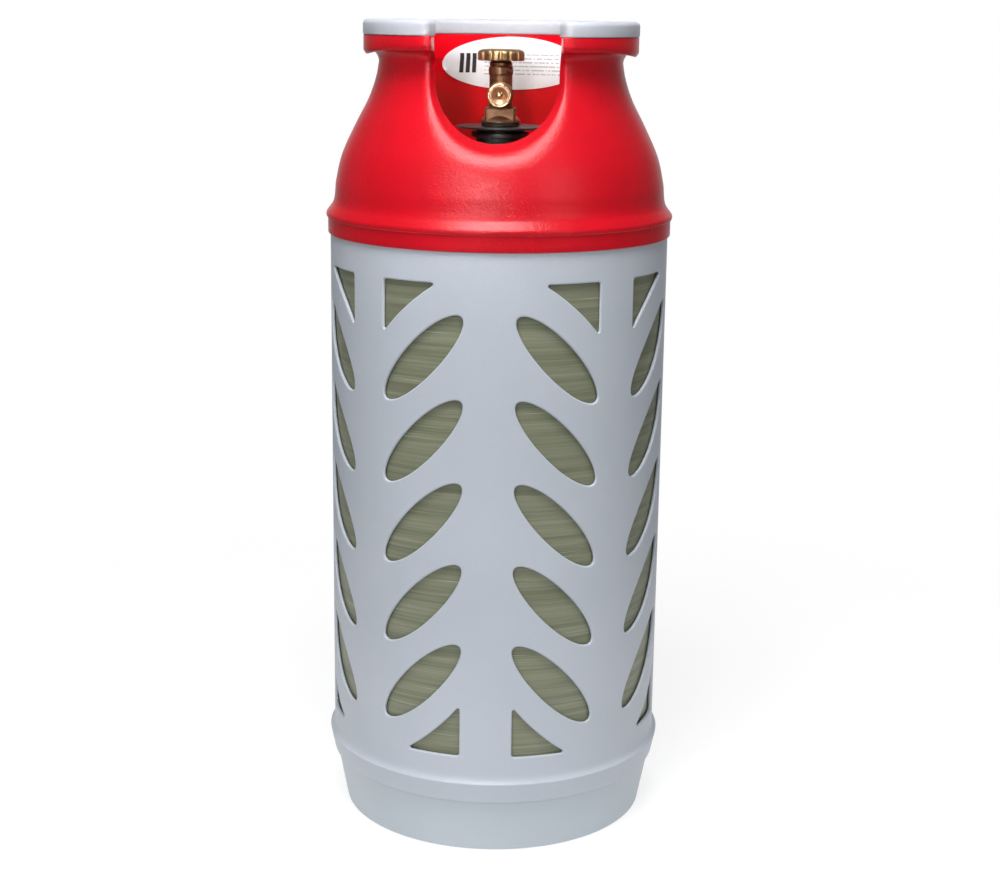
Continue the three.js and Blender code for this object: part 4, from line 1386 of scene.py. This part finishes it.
def buildNut(s):
    # a chamfered hexagon with a bore
    shape = turnedShape([
        (s["hole"], s["low"], 0.2), (s["across"], s["low"], 0.2), (s["across"], s["top"] - 0.2),
        (s["across"] - 0.5, s["top"], 0.2),
        (s["hole"] + 0.3, s["top"], 0.1), (s["hole"], s["top"] - 0.3, 0.1),
    ], 72)
    for vert in shape.verts:
        radius = vert.co.xy.length
        if radius > s["across"] - 0.9:
            turn = (atan2(vert.co.y, vert.co.x) + pi / 6) % (pi / 3) - pi / 6
            flatReach = s["across"] * cos(pi / 6) / cos(turn)
            scale = min(1.0, flatReach / radius)
            vert.co.x *= scale
            vert.co.y *= scale
    return shape


addPiece("wheelWasher", buildNutWasher(nutSettings), body="handwheel", replaced=["wheel_washer"],
         finish=[zincSteel])
addPiece("wheelNut", buildNut(nutSettings), body="handwheel", replaced=["wheel_nut"],
         finish=[zincSteel], crease=25)
print("handwheel done")


# ---- floor, light and view ----
studioSettings = {
    "floor": 4.0, "fadeNear": 0.5, "fadeFar": 1.05, "backdrop": 1.0, "room": 0.16, "behind": 1.0,
    "glow": 0.78,
    "keyPower": 17.0, "fillPower": 6.5, "topPower": 33.0, "notchPower": 0.075, "notchSpread": 11,
}


def addSoftbox(name, spot, target, size, power, colour=(1, 1, 1)):
    data = bpy.data.lights.new(name, "AREA")
    data.shape = "RECTANGLE"
    data.size = size[0]
    data.size_y = size[1]
    data.energy = power
    data.color = colour
    lamp = bpy.data.objects.new(name, data)
    bpy.context.collection.objects.link(lamp)
    aim = (Vector(target) - Vector(spot)).to_track_quat("-Z", "Y")
    lamp.matrix_world = Matrix.Translation(Vector(spot)) @ aim.to_matrix().to_4x4()
    return lamp


def buildStudio(s):
    shape = bmesh.new()
    bmesh.ops.create_grid(shape, x_segments=1, y_segments=1, size=s["floor"])
    bmesh.ops.translate(shape, vec=(0, 0, -0.0006), verts=shape.verts)
    mesh = bpy.data.meshes.new("studioFloor")
    shape.to_mesh(mesh)
    shape.free()
    r = Recipe("paleFloor", Specular_IOR_Level=0.1, Emission_Color=(1, 1, 1, 1), Emission_Strength=s["glow"])
    mist = r.noise(3, 2, 0.5)
    across = r.axis("X")
    along = r.axis("Y")
    away = r.maths("SQRT", across * across + along * along)
    mesh.materials.append(r.finish(Base_Color=r.blend(mist * 0.1, (0.3, 0.3, 0.302), (0.28, 0.28, 0.282)),
                                   Roughness=0.7 + mist * 0.1,
                                   Alpha=r.grade(away, s["fadeNear"], s["fadeFar"], 1.0, 0.0)))
    floor = bpy.data.objects.new("studioFloor", mesh)
    bpy.context.collection.objects.link(floor)
    world = bpy.data.worlds.new("paleRoom")
    world.use_nodes = True
    tree = world.node_tree
    backdrop = tree.nodes["Background"]
    backdrop.inputs["Color"].default_value = (1, 1, 1, 1)
    backdrop.inputs["Strength"].default_value = s["backdrop"]
    room = tree.nodes.new("ShaderNodeBackground")
    room.inputs["Color"].default_value = (0.97, 0.98, 1, 1)
    outward = tree.nodes.new("ShaderNodeTexCoord")
    parts = tree.nodes.new("ShaderNodeSeparateXYZ")
    behind = tree.nodes.new("ShaderNodeMapRange")
    behind.interpolation_type = "SMOOTHSTEP"
    behind.inputs["From Min"].default_value = 0.82
    behind.inputs["From Max"].default_value = 0.97
    behind.inputs["To Min"].default_value = s["room"]
    behind.inputs["To Max"].default_value = s["behind"]
    tree.links.new(outward.outputs["Generated"], parts.inputs[0])
    tree.links.new(parts.outputs["Y"], behind.inputs["Value"])
    tree.links.new(behind.outputs[0], room.inputs["Strength"])
    path = tree.nodes.new("ShaderNodeLightPath")
    mix = tree.nodes.new("ShaderNodeMixShader")
    tree.links.new(path.outputs["Is Camera Ray"], mix.inputs[0])
    tree.links.new(room.outputs[0], mix.inputs[1])
    tree.links.new(backdrop.outputs[0], mix.inputs[2])
    tree.links.new(mix.outputs[0], tree.nodes["World Output"].inputs["Surface"])
    bpy.context.scene.world = world
    addSoftbox("keySoftbox", (-0.75, -2.1, 1.45), (0, 0, 0.35), (1.0, 1.2), s["keyPower"])
    addSoftbox("fillSoftbox", (1.5, -1.7, 1.2), (0, 0, 0.35), (0.9, 1.2), s["fillPower"])
    addSoftbox("topSoftbox", (-0.08, -0.72, 1.95), (0, -0.02, 0.6), (0.9, 0.6), s["topPower"])
    inner = addSoftbox("notchSoftbox", (-0.2, -1.7, 0.9), (0.0, 0.1, 0.632), (0.2, 0.2), s["notchPower"])
    inner.data.spread = radians(s["notchSpread"])


buildStudio(studioSettings)
bpy.context.scene.view_settings.view_transform = "Standard"
print("studio done")
